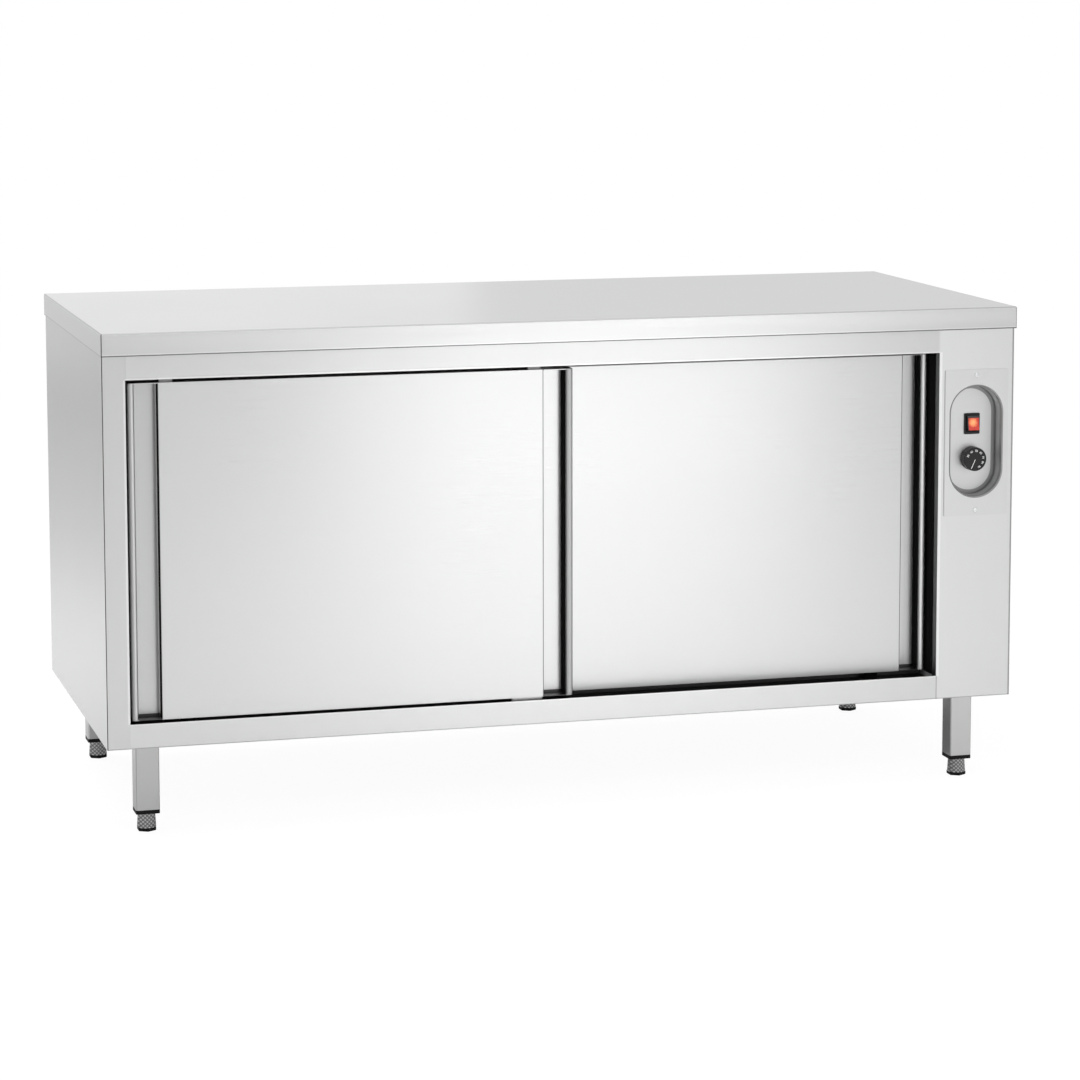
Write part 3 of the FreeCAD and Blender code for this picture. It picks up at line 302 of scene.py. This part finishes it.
def knurled(name, dark, pale):
    """Plated sleeve with a diamond knurl; its grooves are painted darker as shade, and the whole sleeve is
    painted darker as shade where it faces sideways.
    """
    finish = Finish(name, Metallic=1.0, Roughness=0.3)
    ridges = []
    for side in (-1, 1):
        wave = finish.add("ShaderNodeTexWave", wave_type="BANDS", bands_direction="X")
        wave.inputs["Scale"].default_value = knurl_scale
        turn = (0.0, side * math.pi / 4, 0.0)
        finish.join(finish.place((1.0, 1.0, 1.0), turn), wave.inputs["Vector"])
        ridges.append(wave.outputs["Fac"])
    diamonds = finish.sum("MULTIPLY", *ridges)
    groove_shade = finish.spread(diamonds, 0.1, 0.9, 0.05, 0.6)
    where = finish.add("ShaderNodeTexCoord")
    facing = finish.add("ShaderNodeSeparateXYZ")
    finish.join(where.outputs["Normal"], facing.inputs["Vector"])
    # Painted shade: the sleeve is darker where it faces sideways
    front = finish.sum("ABSOLUTE", facing.outputs["Y"], 0.0)
    tone = finish.sum("MULTIPLY", groove_shade, finish.spread(front, 0.35, 1.0, 0.1, 0.95))
    finish.drive(finish.blend(tone, dark, pale), "Base Color")
    finish.bump(diamonds, knurl_height, knurl_relief)
    return finish.material


def galvanised(name):
    """Hot-dip zinc with its crystal flakes."""
    finish = Finish(name, Metallic=1.0)
    flakes = finish.add("ShaderNodeTexVoronoi")
    flakes.inputs["Scale"].default_value = 1.0
    finish.join(finish.place((90.0, 90.0, 90.0)), flakes.inputs["Vector"])
    tone = finish.add("ShaderNodeSeparateColor")
    finish.join(flakes.outputs["Color"], tone.inputs["Color"])
    finish.drive(finish.blend(tone.outputs["Red"], (0.42, 0.44, 0.46), (0.6, 0.62, 0.63)), "Base Color")
    finish.drive(finish.spread(tone.outputs["Green"], 0.32, 0.55, 0.0, 1.0), "Roughness")
    return finish.material


def heater_tube(name):
    """Steel rod with straw and blue heat tints."""
    finish = Finish(name, Metallic=1.0)
    bands = finish.noise((14.0, 14.0, 14.0), detail=3.0)
    warm = finish.blend(finish.spread(bands, 0.0, 1.0), (0.20, 0.17, 0.16), (0.42, 0.33, 0.22))
    cool = finish.spread(finish.noise((9.0, 23.0, 17.0)), 0.0, 1.0, 0.5, 0.75)
    finish.drive(finish.blend(cool, warm, (0.17, 0.19, 0.30)), "Base Color")
    finish.drive(finish.spread(bands, 0.3, 0.5), "Roughness")
    return finish.material


# Plastics and fibres

# Scale, height and strength of the relief on moulded plastic and on pressed fibres
pit_scale = 1400.0
pit_height = 0.04 * MM
pit_relief = 0.5
fibre_height = 1.2 * MM
fibre_relief = 0.8


def moulded(name, colour, roughness, shine=0.5):
    """Moulded plastic with a fine eroded texture."""
    finish = Finish(name)
    finish.shader.inputs["Specular IOR Level"].default_value = shine
    clouds = finish.noise((45.0, 45.0, 45.0), detail=2.0)
    finish.drive(
        finish.blend(finish.spread(clouds, 0.0, 1.0), shade(colour, 0.88), shade(colour, 1.1)),
        "Base Color",
    )
    pits = finish.noise((pit_scale, pit_scale, pit_scale), detail=2.0)
    finish.drive(finish.spread(pits, roughness - 0.05, roughness + 0.06), "Roughness")
    finish.bump(pits, pit_height, pit_relief)
    return finish.material


def wool(name, dark, pale, fibre):
    """Pressed fibres that lie along the board."""
    finish = Finish(name, Roughness=0.95, Sheen_Weight=0.25)
    strands = finish.noise((fibre / 6, fibre / 6, fibre), detail=6.0, roughness=0.75)
    finish.drive(finish.blend(finish.spread(strands, 0.0, 1.0), dark, pale), "Base Color")
    finish.bump(strands, fibre_height, fibre_relief)
    return finish.material


def lit_plastic(name, node):
    """Red front with a small lamp behind it, between black sides; a band along the top of the front is
    painted dark as shade.
    """
    low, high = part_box(node)
    lamp = Vector((
        low.x + (high.x - low.x) * rocker_lamp_across,
        low.y,
        low.z + (high.z - low.z) * rocker_lamp_up,
    ))
    finish = Finish(name, Roughness=0.22, Emission_Strength=1.0)
    finish.shader.inputs["Coat Weight"].default_value = 0.4
    offset = finish.add("ShaderNodeVectorMath", operation="DISTANCE")
    offset.inputs[1].default_value = lamp
    finish.join(finish.place((1.0, 1.0, 1.0)), offset.inputs[0])
    ribs = finish.noise((500.0, 60.0, 900.0), detail=2.0)
    reach = finish.sum("ADD", offset.outputs["Value"], finish.spread(ribs, -0.0012, 0.0012))
    glow = finish.spread(reach, 1.0, 0.0, glow_core, glow_reach)
    where = finish.add("ShaderNodeTexCoord")
    facing = finish.add("ShaderNodeSeparateXYZ")
    finish.join(where.outputs["Normal"], facing.inputs["Vector"])
    front = finish.sum("LESS_THAN", facing.outputs["Y"], -0.6)
    # Painted shade: the front's top band stays dark, and a strip along its left edge stays dark too
    lit = finish.marked({
        "X": ((low.x + rocker_rim) / MM, high.x / MM),
        "Z": (low.z / MM, (high.z - rocker_shade) / MM),
    })
    front = finish.sum("MULTIPLY", front, lit)
    red = finish.blend(glow, (0.20, 0.010, 0.006), (0.45, 0.12, 0.04))
    finish.drive(finish.blend(front, (0.02, 0.02, 0.02), red), "Base Color")
    light = finish.blend(glow, (0.40, 0.022, 0.010), (1.0, 0.48, 0.18))
    finish.drive(finish.blend(front, (0.0, 0.0, 0.0), light), "Emission Color")
    return finish.material


def printed(name):
    """White print on the knob, a little uneven."""
    finish = Finish(name)
    grain = finish.noise((2600.0, 2600.0, 2600.0))
    tone = finish.spread(grain, 0.0, 1.0)
    finish.drive(finish.blend(tone, (0.72, 0.72, 0.70), (0.9, 0.9, 0.88)), "Base Color")
    finish.drive(finish.spread(grain, 0.45, 0.6), "Roughness")
    return finish.material


# Which finish each CAD piece has

STEEL = (0.605, 0.608, 0.607)
# Colours that the painted shade and the painted light below move the steel towards
PAINTED_SHADE = (0.05, 0.05, 0.05)
PAINTED_LIGHT = (0.95, 0.95, 0.95)

# Painted shade and painted light along folded edges and over a few patches, as spans in millimetres, how
# strong they are, and whether painted shade or painted light
WORKTOP_PAINTED_SHADING = (
    ({"Y": (-352, -348.2), "Z": (841.4, 844)}, 0.22, PAINTED_SHADE),
    ({"X": (-802, -798.2), "Z": (841.4, 844)}, 0.45, PAINTED_SHADE),
    ({"Y": (-351, -349), "Z": (808.8, 841.4)}, 0.1, PAINTED_LIGHT),
    ({"Y": (-351, -349), "Z": (806.8, 808.8)}, 0.3, PAINTED_LIGHT),
    ({"X": (-802, -798.4), "Y": (-352, -348.4)}, 0.8, PAINTED_SHADE),
    ({"X": (798.4, 802), "Y": (-352, -348.4)}, 0.6, PAINTED_SHADE),
    ({"Y": (-351, -349), "Z": (804, 806.8)}, 0.75, PAINTED_SHADE),
    ({"X": (-801, -799), "Z": (804, 806.4)}, 0.4, PAINTED_SHADE),
)
# Painted light on the side panels' folded front edges and painted shade in the lines beside them
SIDE_PAINTED_SHADING = (
    ({"X": (-800, -796), "Y": (-339.3, -334)}, 0.35, PAINTED_LIGHT),
    ({"X": (-763.5, -759), "Y": (-342, -339), "Z": (194, 765)}, 0.3, PAINTED_LIGHT),
    ({"X": (-800, -796.9), "Y": (-342, -339.3)}, 0.85, PAINTED_SHADE),
    ({"Y": (-342, -340), "Z": (152, 154.4)}, 0.5, PAINTED_SHADE),
    ({"X": (796, 799), "Y": (-342, -340.5)}, 0.55, PAINTED_SHADE),
)
# Painted light on the rails' folded edges, painted shade in the lines beside them, and the sill under the
# doors painted nearly black as shade
RAIL_PAINTED_SHADING = (
    ({"Y": (-342, -340), "Z": (764, 767.4)}, 0.4, PAINTED_LIGHT),
    ({"X": (-761, -758.6), "Y": (-342, -340), "Z": (767.4, 806)}, 0.15, PAINTED_SHADE),
    ({"Y": (-342, -340), "Z": (192, 194.5)}, 0.25, PAINTED_LIGHT),
    ({"Y": (-342, -340), "Z": (152, 154.4)}, 0.5, PAINTED_SHADE),
    ({"Y": (-339.6, -200), "Z": (150, 188)}, 0.97, PAINTED_SHADE),
)
# Painted light on the column's jamb edge and painted shade on its folds and on the return beside the door
COLUMN_PAINTED_SHADING = (
    ({"X": (659, 665), "Y": (-342, -340), "Z": (194, 766)}, 0.35, PAINTED_LIGHT),
    ({"Y": (-342, -340), "Z": (152, 154.4)}, 0.5, PAINTED_SHADE),
    ({"X": (795.6, 799), "Y": (-342, -340)}, 0.5, PAINTED_SHADE),
    ({"X": (659, 661.2), "Y": (-342, -340), "Z": (150, 194)}, 0.7, PAINTED_SHADE),
    ({"X": (659, 661.6), "Y": (-339.5, -310)}, 0.8, PAINTED_SHADE),
)
# Painted shade in the grips and along the doors' edges, and painted light on and beside the right door's
# right-hand bar
DOOR_PAINTED_SHADING = (
    ({"X": (-757, -750), "Y": (-332, -300)}, 0.35, PAINTED_SHADE),
    ({"X": (-744.5, -704), "Y": (-304, -300)}, 0.14, PAINTED_SHADE),
    ({"X": (-12, -1.6), "Y": (-332, -306)}, 0.25, PAINTED_SHADE),
    ({"X": (-1.6, 1), "Y": (-332, -300)}, 0.7, PAINTED_SHADE),
    ({"X": (-53, -50.8), "Y": (-332, -328)}, 0.85, PAINTED_SHADE),
    ({"X": (-49, 641), "Y": (-299, -290), "Z": (756.9, 759)}, 0.7, PAINTED_SHADE),
    ({"X": (646.6, 655), "Y": (-299, -273)}, 0.9, PAINTED_LIGHT),
    ({"X": (628, 635), "Y": (-275, -267)}, 0.12, PAINTED_LIGHT),
    ({"X": (635, 642), "Y": (-275, -267)}, 0.6, PAINTED_LIGHT),
    ({"X": (606.6, 608.6), "Y": (-299, -295)}, 0.9, PAINTED_SHADE),
)
# Painted shade, nearly black, at the lower end of each grip
GRIP_END_SHADE = tuple(
    ({"X": across, "Y": deep, "Z": (196, 203)}, 0.96, PAINTED_SHADE)
    for across, deep in (
        ((-744, -705), (-332, -300)), ((-52, -12), (-332, -300)),
        ((-89, -49.5), (-299, -267)), ((607.5, 643), (-299, -267)),
    )
)
BARS = (
    {"X": (-757, -743.5), "Y": (-332, -304)},
    {"X": (-12, 1), "Y": (-332, -304)},
    {"X": (-102, -89), "Y": (-299, -271)},
    {"X": (642.5, 656), "Y": (-299, -271)},
)
# Painted shade on the wall of the plate's recess, on the rim round it, and along the plate's left edge
PLATE_PAINTED_SHADE = (
    ({"R": (48.8, 50.3), "Y": (-344, -340.2)}, 0.65, PAINTED_SHADE),
    ({"R": (40, 49), "Y": (-344, -334)}, 0.5, PAINTED_SHADE),
    ({"R": (40, 49), "Y": (-334, -320)}, 0.25, PAINTED_SHADE),
    ({"R": (40, 49), "Y": (-320, -312)}, 0.6, PAINTED_SHADE),
    ({"X": (669, 671.2), "Y": (-343, -341)}, 0.3, PAINTED_SHADE),
)
# A painted lighter patch on the front right leg, and painted shade along the legs' edges
LEG_PAINTED_SHADING = (
    ({"X": (700, 750), "Y": (-300, -255)}, 0.14, PAINTED_LIGHT),
    ({"X": (705, 706.4), "Y": (-299, -255)}, 0.5, PAINTED_SHADE),
    ({"X": (705, 708), "Y": (-300, -297)}, 0.5, PAINTED_SHADE),
    ({"X": (-747, -744.4), "Y": (-300, -297)}, 0.45, PAINTED_SHADE),
)
# Painted shade, nearly black, on the inner floor's front under the doors
FLOOR_PAINTED_SHADE = (
    ({"Y": (-340, -240), "Z": (150, 196)}, 0.97, PAINTED_SHADE),
)


# Sheets of steel: finish, how pale it is beside STEEL, roughness, way of the grain, what else
# the finish has, and the nodes that wear it
LINED = ("inner_left_wall", "inner_right_wall", "inner_back_wall", "inner_ceiling", "heater_cover")
SIDES = ("left", "right")
DOOR_SKINS = tuple(side + "_door_" + face + "_skin" for side in SIDES for face in ("front", "back"))
cavity_metal = 0.5
SHEETS = (
    ("worktop_steel", 0.89, 0.30, "x", {"tangent_axis": "Y", "painted_shading": WORKTOP_PAINTED_SHADING}, ("worktop",)),
    ("side_steel", 0.89, 0.34, "z", {"painted_shading": SIDE_PAINTED_SHADING}, ("left_side_panel", "right_side_panel")),
    ("rail_steel", 0.965, 0.32, "x", {"painted_shading": RAIL_PAINTED_SHADING}, ("top_front_rail", "bottom_front_rail")),
    ("column_steel", 1.01, 0.34, "z", {"painted_shading": COLUMN_PAINTED_SHADING}, ("control_column_front",)),
    ("back_steel", 0.95, 0.38, "x", {}, ("back_panel", "base_panel")),
    ("leg_steel", 0.72, 0.34, "z", {"painted_shading": LEG_PAINTED_SHADING}, ("legs",)),
    ("lining_steel", 1.1, 0.40, "x", {"metal": cavity_metal}, LINED),
    ("floor_steel", 1.1, 0.40, "x", {"metal": cavity_metal, "painted_shading": FLOOR_PAINTED_SHADE}, ("inner_floor",)),
    ("shelf_steel", 1.1, 0.36, "x", {"metal": cavity_metal, "tangent_axis": "Y"}, ("shelf",)),
    ("rack_steel", 1.0, 0.36, "z", {"metal": cavity_metal}, ("shelf_uprights", "shelf_brackets")),
    ("door_steel", 0.95, 0.30, "x", {"painted_shading": DOOR_PAINTED_SHADING + GRIP_END_SHADE, "blurred": BARS}, DOOR_SKINS),
    ("plate_steel", 0.98, 0.42, "z", {"stretch": 0.2, "painted_shading": PLATE_PAINTED_SHADE}, ("control_plate",)),
)


def wear(material, *names):
    """Put one material on CAD nodes in place of what they have."""
    for name in names:
        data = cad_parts[name].data
        data.materials.clear()
        data.materials.append(material)


def dress():
    """Give every CAD node its finish."""
    for name, tone, roughness, grain, extras, pieces in SHEETS:
        wear(satin_steel(name, shade(STEEL, tone), roughness, grain, **extras), *pieces)
    wear(galvanised("galvanised_sheet"), "worktop_stiffeners", "upper_track", "fan_housing")
    wear(heater_tube("heater_tube"), "heater_element")
    wear(
        zinc("bright_zinc", (0.76, 0.77, 0.78), 0.16),
        "plate_screws", "thermostat_body", "thermostat_shaft",
    )
    wear(zinc("dull_zinc", (0.28, 0.28, 0.28), 0.40), "left_door_hangers", "right_door_hangers")
    wear(
        wool("mineral_wool", (0.34, 0.30, 0.17), (0.66, 0.60, 0.38), 900.0),
        "left_insulation", "back_insulation", "ceiling_insulation", "floor_insulation",
    )
    wear(
        wool("door_foam", (0.66, 0.60, 0.40), (0.82, 0.77, 0.58), 2200.0),
        "left_door_insulation", "right_door_insulation",
    )
    wear(BLACK, "switch_housing", "cable_gland", "control_knob", "fan_impeller")
    wear(RUBBER_AND_SHADE_BLACK, "left_door_guides", "right_door_guides")
    wear(
        moulded("white_nylon", (0.74, 0.74, 0.70), 0.45),
        "terminal_block",
        *(side + "_door_" + place + "_roller" for side in SIDES for place in SIDES),
    )
    wear(lit_plastic("lit_red_plastic", "switch_rocker"), "switch_rocker")
    corners = [row + "_" + side for row in ("front", "back") for side in SIDES]
    wear(
        knurled("foot_zinc", (0.12, 0.12, 0.12), (0.56, 0.56, 0.56)),
        *("foot_sleeve_" + corner for corner in corners),
    )
    wear(
        moulded("foot_plastic", (0.006, 0.006, 0.006), 0.55, shine=0.1),
        "leg_caps", *("foot_base_" + corner for corner in corners),
    )


# Black strips in the door grips and beside the doors, put there as painted shade, and the plate under the
# left door

def settle(piece, body):
    """Hook a finished piece on its body."""
    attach(piece, body)
    return piece


def upright_strip(name, outline, low, high, ink):
    """A strip of even plan outline between two heights."""
    count = len(outline)
    bottom = [(x, y, low) for x, y in outline]
    top = [(x, y, high) for x, y in outline]
    faces = [tuple(reversed(range(count))), tuple(range(count, 2 * count))]
    for step in range(count):
        after = (step + 1) % count
        faces.append((step, after, count + after, count + step))
    mesh = bpy.data.meshes.new(name)
    mesh.from_pydata(bottom + top, [], faces)
    mesh.materials.append(ink)
    piece = bpy.data.objects.new(name, mesh)
    bpy.context.scene.collection.objects.link(piece)
    return piece


def turned(outline):
    """The outline in the order that makes its faces look outwards."""
    area = 0.0
    for (x0, y0), (x1, y1) in zip(outline, outline[1:] + outline[:1]):
        area += x0 * y1 - x1 * y0
    return outline if area > 0 else list(reversed(outline))


def liner(name, body, wall, inward, front, back, heights, foot):
    """Thin black strip on one side wall of a grip, as painted shade, with or without a foot on the grip's
    floor.
    """
    face = wall + inward * shade_strip_thickness
    toe = wall + inward * shade_strip_foot
    heel = back - shade_strip_thickness
    outline = [(wall, front), (face, front + shade_strip_thickness)]
    outline += [(face, heel), (toe, heel), (toe, back)] if foot else [(face, back)]
    outline.append((wall, back))
    piece = upright_strip(name, turned(outline), heights[0], heights[1], RUBBER_AND_SHADE_BLACK)
    settle(piece, body)


def grip_liners():
    """Black strip on the right-hand wall of each grip, as painted shade."""
    widths = {
        "left": (left_outer_grip_width, inner_grip_width),
        "right": (inner_grip_width, right_outer_grip_width),
    }
    for side, (left_grip, right_grip) in widths.items():
        body = side + "_door"
        low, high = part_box(body + "_front_skin")
        floor = high.y - door_sheet
        by_bar = low.y + bar_radius
        by_panel = low.y + panel_edge_radius
        walls = [
            ("left_grip", low.x + left_grip, -1, by_panel),
            ("right_grip", high.x - bar_width, -1, by_bar),
        ]
        for place, wall, inward, front in walls:
            whole = (side, place) != ("left", "left_grip")
            back = floor if whole else front + short_shade_strip_depth
            name = body + "_liner_" + place
            liner(name, body, wall, inward, front, back, (low.z, high.z), whole)


def door_glide():
    """Small plate under the left door's right end, which keeps it off the sill."""
    low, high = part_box("left_door_front_skin")
    right = high.x - inner_grip_width - glide_inset
    left = right - glide_length
    front = low.y + glide_setback
    back = front + glide_depth
    outline = [
        (left + glide_chamfer, front), (right - glide_chamfer, front), (right, front + glide_chamfer),
        (right, back), (left, back), (left, front + glide_chamfer),
    ]
    ink = zinc("glide_zinc", (0.60, 0.60, 0.60), 0.35)
    piece = upright_strip("left_door_glide", turned(outline), low.z - glide_height, low.z, ink)
    settle(piece, "left_door")


def door_seals():
    """Black strips on the cavity's side walls, just behind the jambs, as painted shade."""
    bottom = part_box("bottom_front_rail")[1].z
    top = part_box("upper_track")[0].z - jamb_strip_end_gap
    for side in ("left", "right"):
        low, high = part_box("inner_" + side + "_wall")
        wall, inward = (high.x, 1) if side == "left" else (low.x, -1)
        start = low.y
        end = start + jamb_strip_depth
        bulge = wall + inward * jamb_strip_thickness
        half = wall + inward * jamb_strip_thickness / 2
        outline = [
            (wall, start), (half, start), (bulge, start + jamb_strip_thickness),
            (bulge, end - jamb_strip_thickness), (half, end), (wall, end),
        ]
        piece = upright_strip("jamb_shade_strip_" + side, turned(outline), bottom, top, RUBBER_AND_SHADE_BLACK)
        settle(piece, "cabinet")


# Marks on the knob

def dial_text(name, words, ink):
    """A raised number as a mesh, lying in the XY plane, centred on its middle."""
    curve = bpy.data.curves.new(name, "FONT")
    curve.body = words
    curve.size = number_height / digit_share
    curve.align_x = "CENTER"
    curve.align_y = "CENTER"
    curve.extrude = mark_thickness / 2
    curve.resolution_u = 4
    source = bpy.data.objects.new(name + "_source", curve)
    bpy.context.scene.collection.objects.link(source)
    graph = bpy.context.evaluated_depsgraph_get()
    mesh = bpy.data.meshes.new_from_object(source.evaluated_get(graph))
    mesh.name = name
    bpy.data.objects.remove(source)
    piece = bpy.data.objects.new(name, mesh)
    mesh.materials.clear()
    mesh.materials.append(ink)
    bpy.context.scene.collection.objects.link(piece)
    return piece


def knob_marks():
    """Numbers round the knob's face, and its pointer line."""
    ink = printed("white_print")
    low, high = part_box("control_knob")
    centre = Vector(((low.x + high.x) / 2, low.y, (low.z + high.z) / 2))
    forward = mark_thickness / 2 - mark_sink
    for index, number in enumerate(dial_numbers):
        angle = first_number_angle + index * number_step
        piece = dial_text("dial_number_" + str(number), str(number), ink)
        outward = Vector((math.cos(angle), 0.0, math.sin(angle)))
        piece.location = centre + outward * number_ring - Vector((0.0, forward, 0.0))
        piece.rotation_euler = Euler((math.pi / 2, math.pi / 2 - angle, 0.0), "XYZ")
        settle(piece, "control_knob")
    settle(pointer(centre, forward, ink), "control_knob")


def pointer(centre, forward, ink):
    """Line with rounded ends from near the knob's middle to its rim."""
    half = pointer_width / 2
    outline = []
    steps = pointer_end_steps
    for end, start_angle in ((pointer_end, -math.pi / 2), (pointer_start, math.pi / 2)):
        for step in range(steps + 1):
            angle = start_angle + math.pi * step / steps
            outline.append((end + half * math.cos(angle), half * math.sin(angle)))
    count = len(outline)
    deep = [(x, y, -mark_thickness / 2) for x, y in outline]
    proud = [(x, y, mark_thickness / 2) for x, y in outline]
    faces = [tuple(range(count, 2 * count)), tuple(reversed(range(count)))]
    for step in range(count):
        after = (step + 1) % count
        faces.append((step, after, count + after, count + step))
    mesh = bpy.data.meshes.new("knob_pointer")
    mesh.from_pydata(deep + proud, [], faces)
    mesh.materials.append(ink)
    piece = bpy.data.objects.new("knob_pointer", mesh)
    bpy.context.scene.collection.objects.link(piece)
    piece.location = centre - Vector((0.0, forward, 0.0))
    piece.rotation_euler = Euler((math.pi / 2, -pointer_angle, 0.0), "XYZ")
    return piece


# Studio

world_light = 0.75
floor_half = 60.0
floor_shadow = 0.08
floor_paleness = 0.9

# Lamps: place, point they face, width, height, power in watts, whether steel mirrors them
LAMPS = {
    "low_box": ((0.9, -3.4, 0.5), (0.1, -0.33, 0.4), 1.2, 0.8, 4.4, True),
    "near_box": ((0.2, -1.4, 1.0), (0.2, -1.4, 0.0), 0.7, 0.5, 8.4, False),
    "far_box": ((0.45, -2.7, 1.4), (0.45, -2.7, 0.0), 0.9, 0.8, 12.0, False),
    "last_box": ((1.5, -5.6, 2.4), (1.5, -5.6, 0.0), 1.8, 1.6, 20.0, False),
    "side_box": ((-1.5, 1.2, 1.8), (-1.4, 1.2, 0.0), 0.9, 0.9, 22.0, False),
    "top_box": ((0.0, -0.6, 3.6), (0.0, 0.0, 0.5), 3.0, 2.0, 20.0, True),
    "back_box": ((-1.2, 4.5, 1.4), (-0.4, 0.0, 0.84), 4.8, 2.4, 11.5, True),
}


def grey(level):
    return (level, level, level, 1.0)


def seen_ray(tree):
    """One for rays from the camera, or off and through shiny surfaces; otherwise zero."""
    path = tree.nodes.new("ShaderNodeLightPath")
    total = path.outputs["Is Camera Ray"]
    for kind in ("Is Glossy Ray", "Is Transmission Ray"):
        either = tree.nodes.new("ShaderNodeMath")
        either.operation = "MAXIMUM"
        tree.links.new(total, either.inputs[0])
        tree.links.new(path.outputs[kind], either.inputs[1])
        total = either.outputs["Value"]
    return total


def studio_world():
    """White where it is seen, and a softer pale grey where it only lights."""
    world = bpy.data.worlds.new("studio")
    bpy.context.scene.world = world
    world.use_nodes = True
    tree = world.node_tree
    tree.nodes.clear()
    output = tree.nodes.new("ShaderNodeOutputWorld")
    mix = tree.nodes.new("ShaderNodeMixShader")
    tree.links.new(seen_ray(tree), mix.inputs["Fac"])
    for index, strength in ((1, world_light), (2, 1.0)):
        light = tree.nodes.new("ShaderNodeBackground")
        light.inputs["Color"].default_value = (1.0, 1.0, 1.0, 1.0)
        light.inputs["Strength"].default_value = strength
        tree.links.new(light.outputs["Background"], mix.inputs[index])
    tree.links.new(mix.outputs["Shader"], output.inputs["Surface"])


def shader_node(tree, kind, **values):
    node = tree.nodes.new(kind)
    for socket, value in values.items():
        node.inputs[socket].default_value = value
    return node


def studio_floor():
    """Floor that the camera sees as white with a soft shadow; to all else it is pale and matt."""
    half = floor_half
    mesh = bpy.data.meshes.new("floor")
    mesh.from_pydata(
        [(-half, -half, 0), (half, -half, 0), (half, half, 0), (-half, half, 0)], [], [(0, 1, 2, 3)],
    )
    floor = bpy.data.objects.new("floor", mesh)
    bpy.context.scene.collection.objects.link(floor)
    material = bpy.data.materials.new("floor_white")
    material.use_nodes = True
    tree = material.node_tree
    tree.nodes.clear()
    output = tree.nodes.new("ShaderNodeOutputMaterial")
    shadow = shader_node(tree, "ShaderNodeBsdfDiffuse", Color=grey(floor_shadow))
    glow = shader_node(tree, "ShaderNodeEmission", Strength=1.0 - world_light * floor_shadow)
    seen = tree.nodes.new("ShaderNodeAddShader")
    tree.links.new(shadow.outputs["BSDF"], seen.inputs[0])
    tree.links.new(glow.outputs["Emission"], seen.inputs[1])
    matt = shader_node(tree, "ShaderNodeBsdfDiffuse", Color=grey(floor_paleness))
    path = tree.nodes.new("ShaderNodeLightPath")
    mix = tree.nodes.new("ShaderNodeMixShader")
    tree.links.new(path.outputs["Is Camera Ray"], mix.inputs["Fac"])
    tree.links.new(matt.outputs["BSDF"], mix.inputs[1])
    tree.links.new(seen.outputs["Shader"], mix.inputs[2])
    tree.links.new(mix.outputs["Shader"], output.inputs["Surface"])
    mesh.materials.append(material)


def soft_box(name, place, target, width, height, power, mirrored):
    """Large soft lamp that faces a point, unseen by the camera itself. One that isn't
    mirrored lights only matt surfaces, such as the floor that the steel reflects."""
    lamp = bpy.data.lights.new(name, "AREA")
    lamp.shape = "RECTANGLE"
    lamp.size = width
    lamp.size_y = height
    lamp.energy = power
    holder = bpy.data.objects.new(name, lamp)
    holder.location = place
    aim = Vector(target) - Vector(place)
    holder.rotation_euler = aim.to_track_quat("-Z", "Y").to_euler()
    holder.visible_camera = False
    holder.visible_glossy = mirrored
    bpy.context.scene.collection.objects.link(holder)


def studio_camera():
    lens = bpy.data.cameras.new("camera")
    lens.sensor_width = sensor_width
    lens.lens = focal_pixels / photo_side * sensor_width
    lens.shift_x = (photo_side / 2 - principal_point[0]) / photo_side
    lens.shift_y = (principal_point[1] - photo_side / 2) / photo_side
    lens.clip_end = 100.0
    holder = bpy.data.objects.new("camera", lens)
    holder.location = camera_place
    holder.rotation_euler = Euler((camera_pitch, 0.0, camera_turn), "XYZ")
    bpy.context.scene.collection.objects.link(holder)
    bpy.context.scene.camera = holder


BLACK = moulded("black_plastic", (0.010, 0.010, 0.011), 0.42, shine=0.3)
# Black rubber for the door guides, also worn by the black strips that are painted shade
RUBBER_AND_SHADE_BLACK = moulded("black_rubber_and_shade", (0.004, 0.004, 0.004), 0.85, shine=0.05)
dress()
grip_liners()
door_glide()
door_seals()
knob_marks()
studio_world()
studio_floor()
for lamp_name, settings in LAMPS.items():
    soft_box(lamp_name, *settings)
studio_camera()
bpy.context.scene.view_settings.view_transform = "Standard"
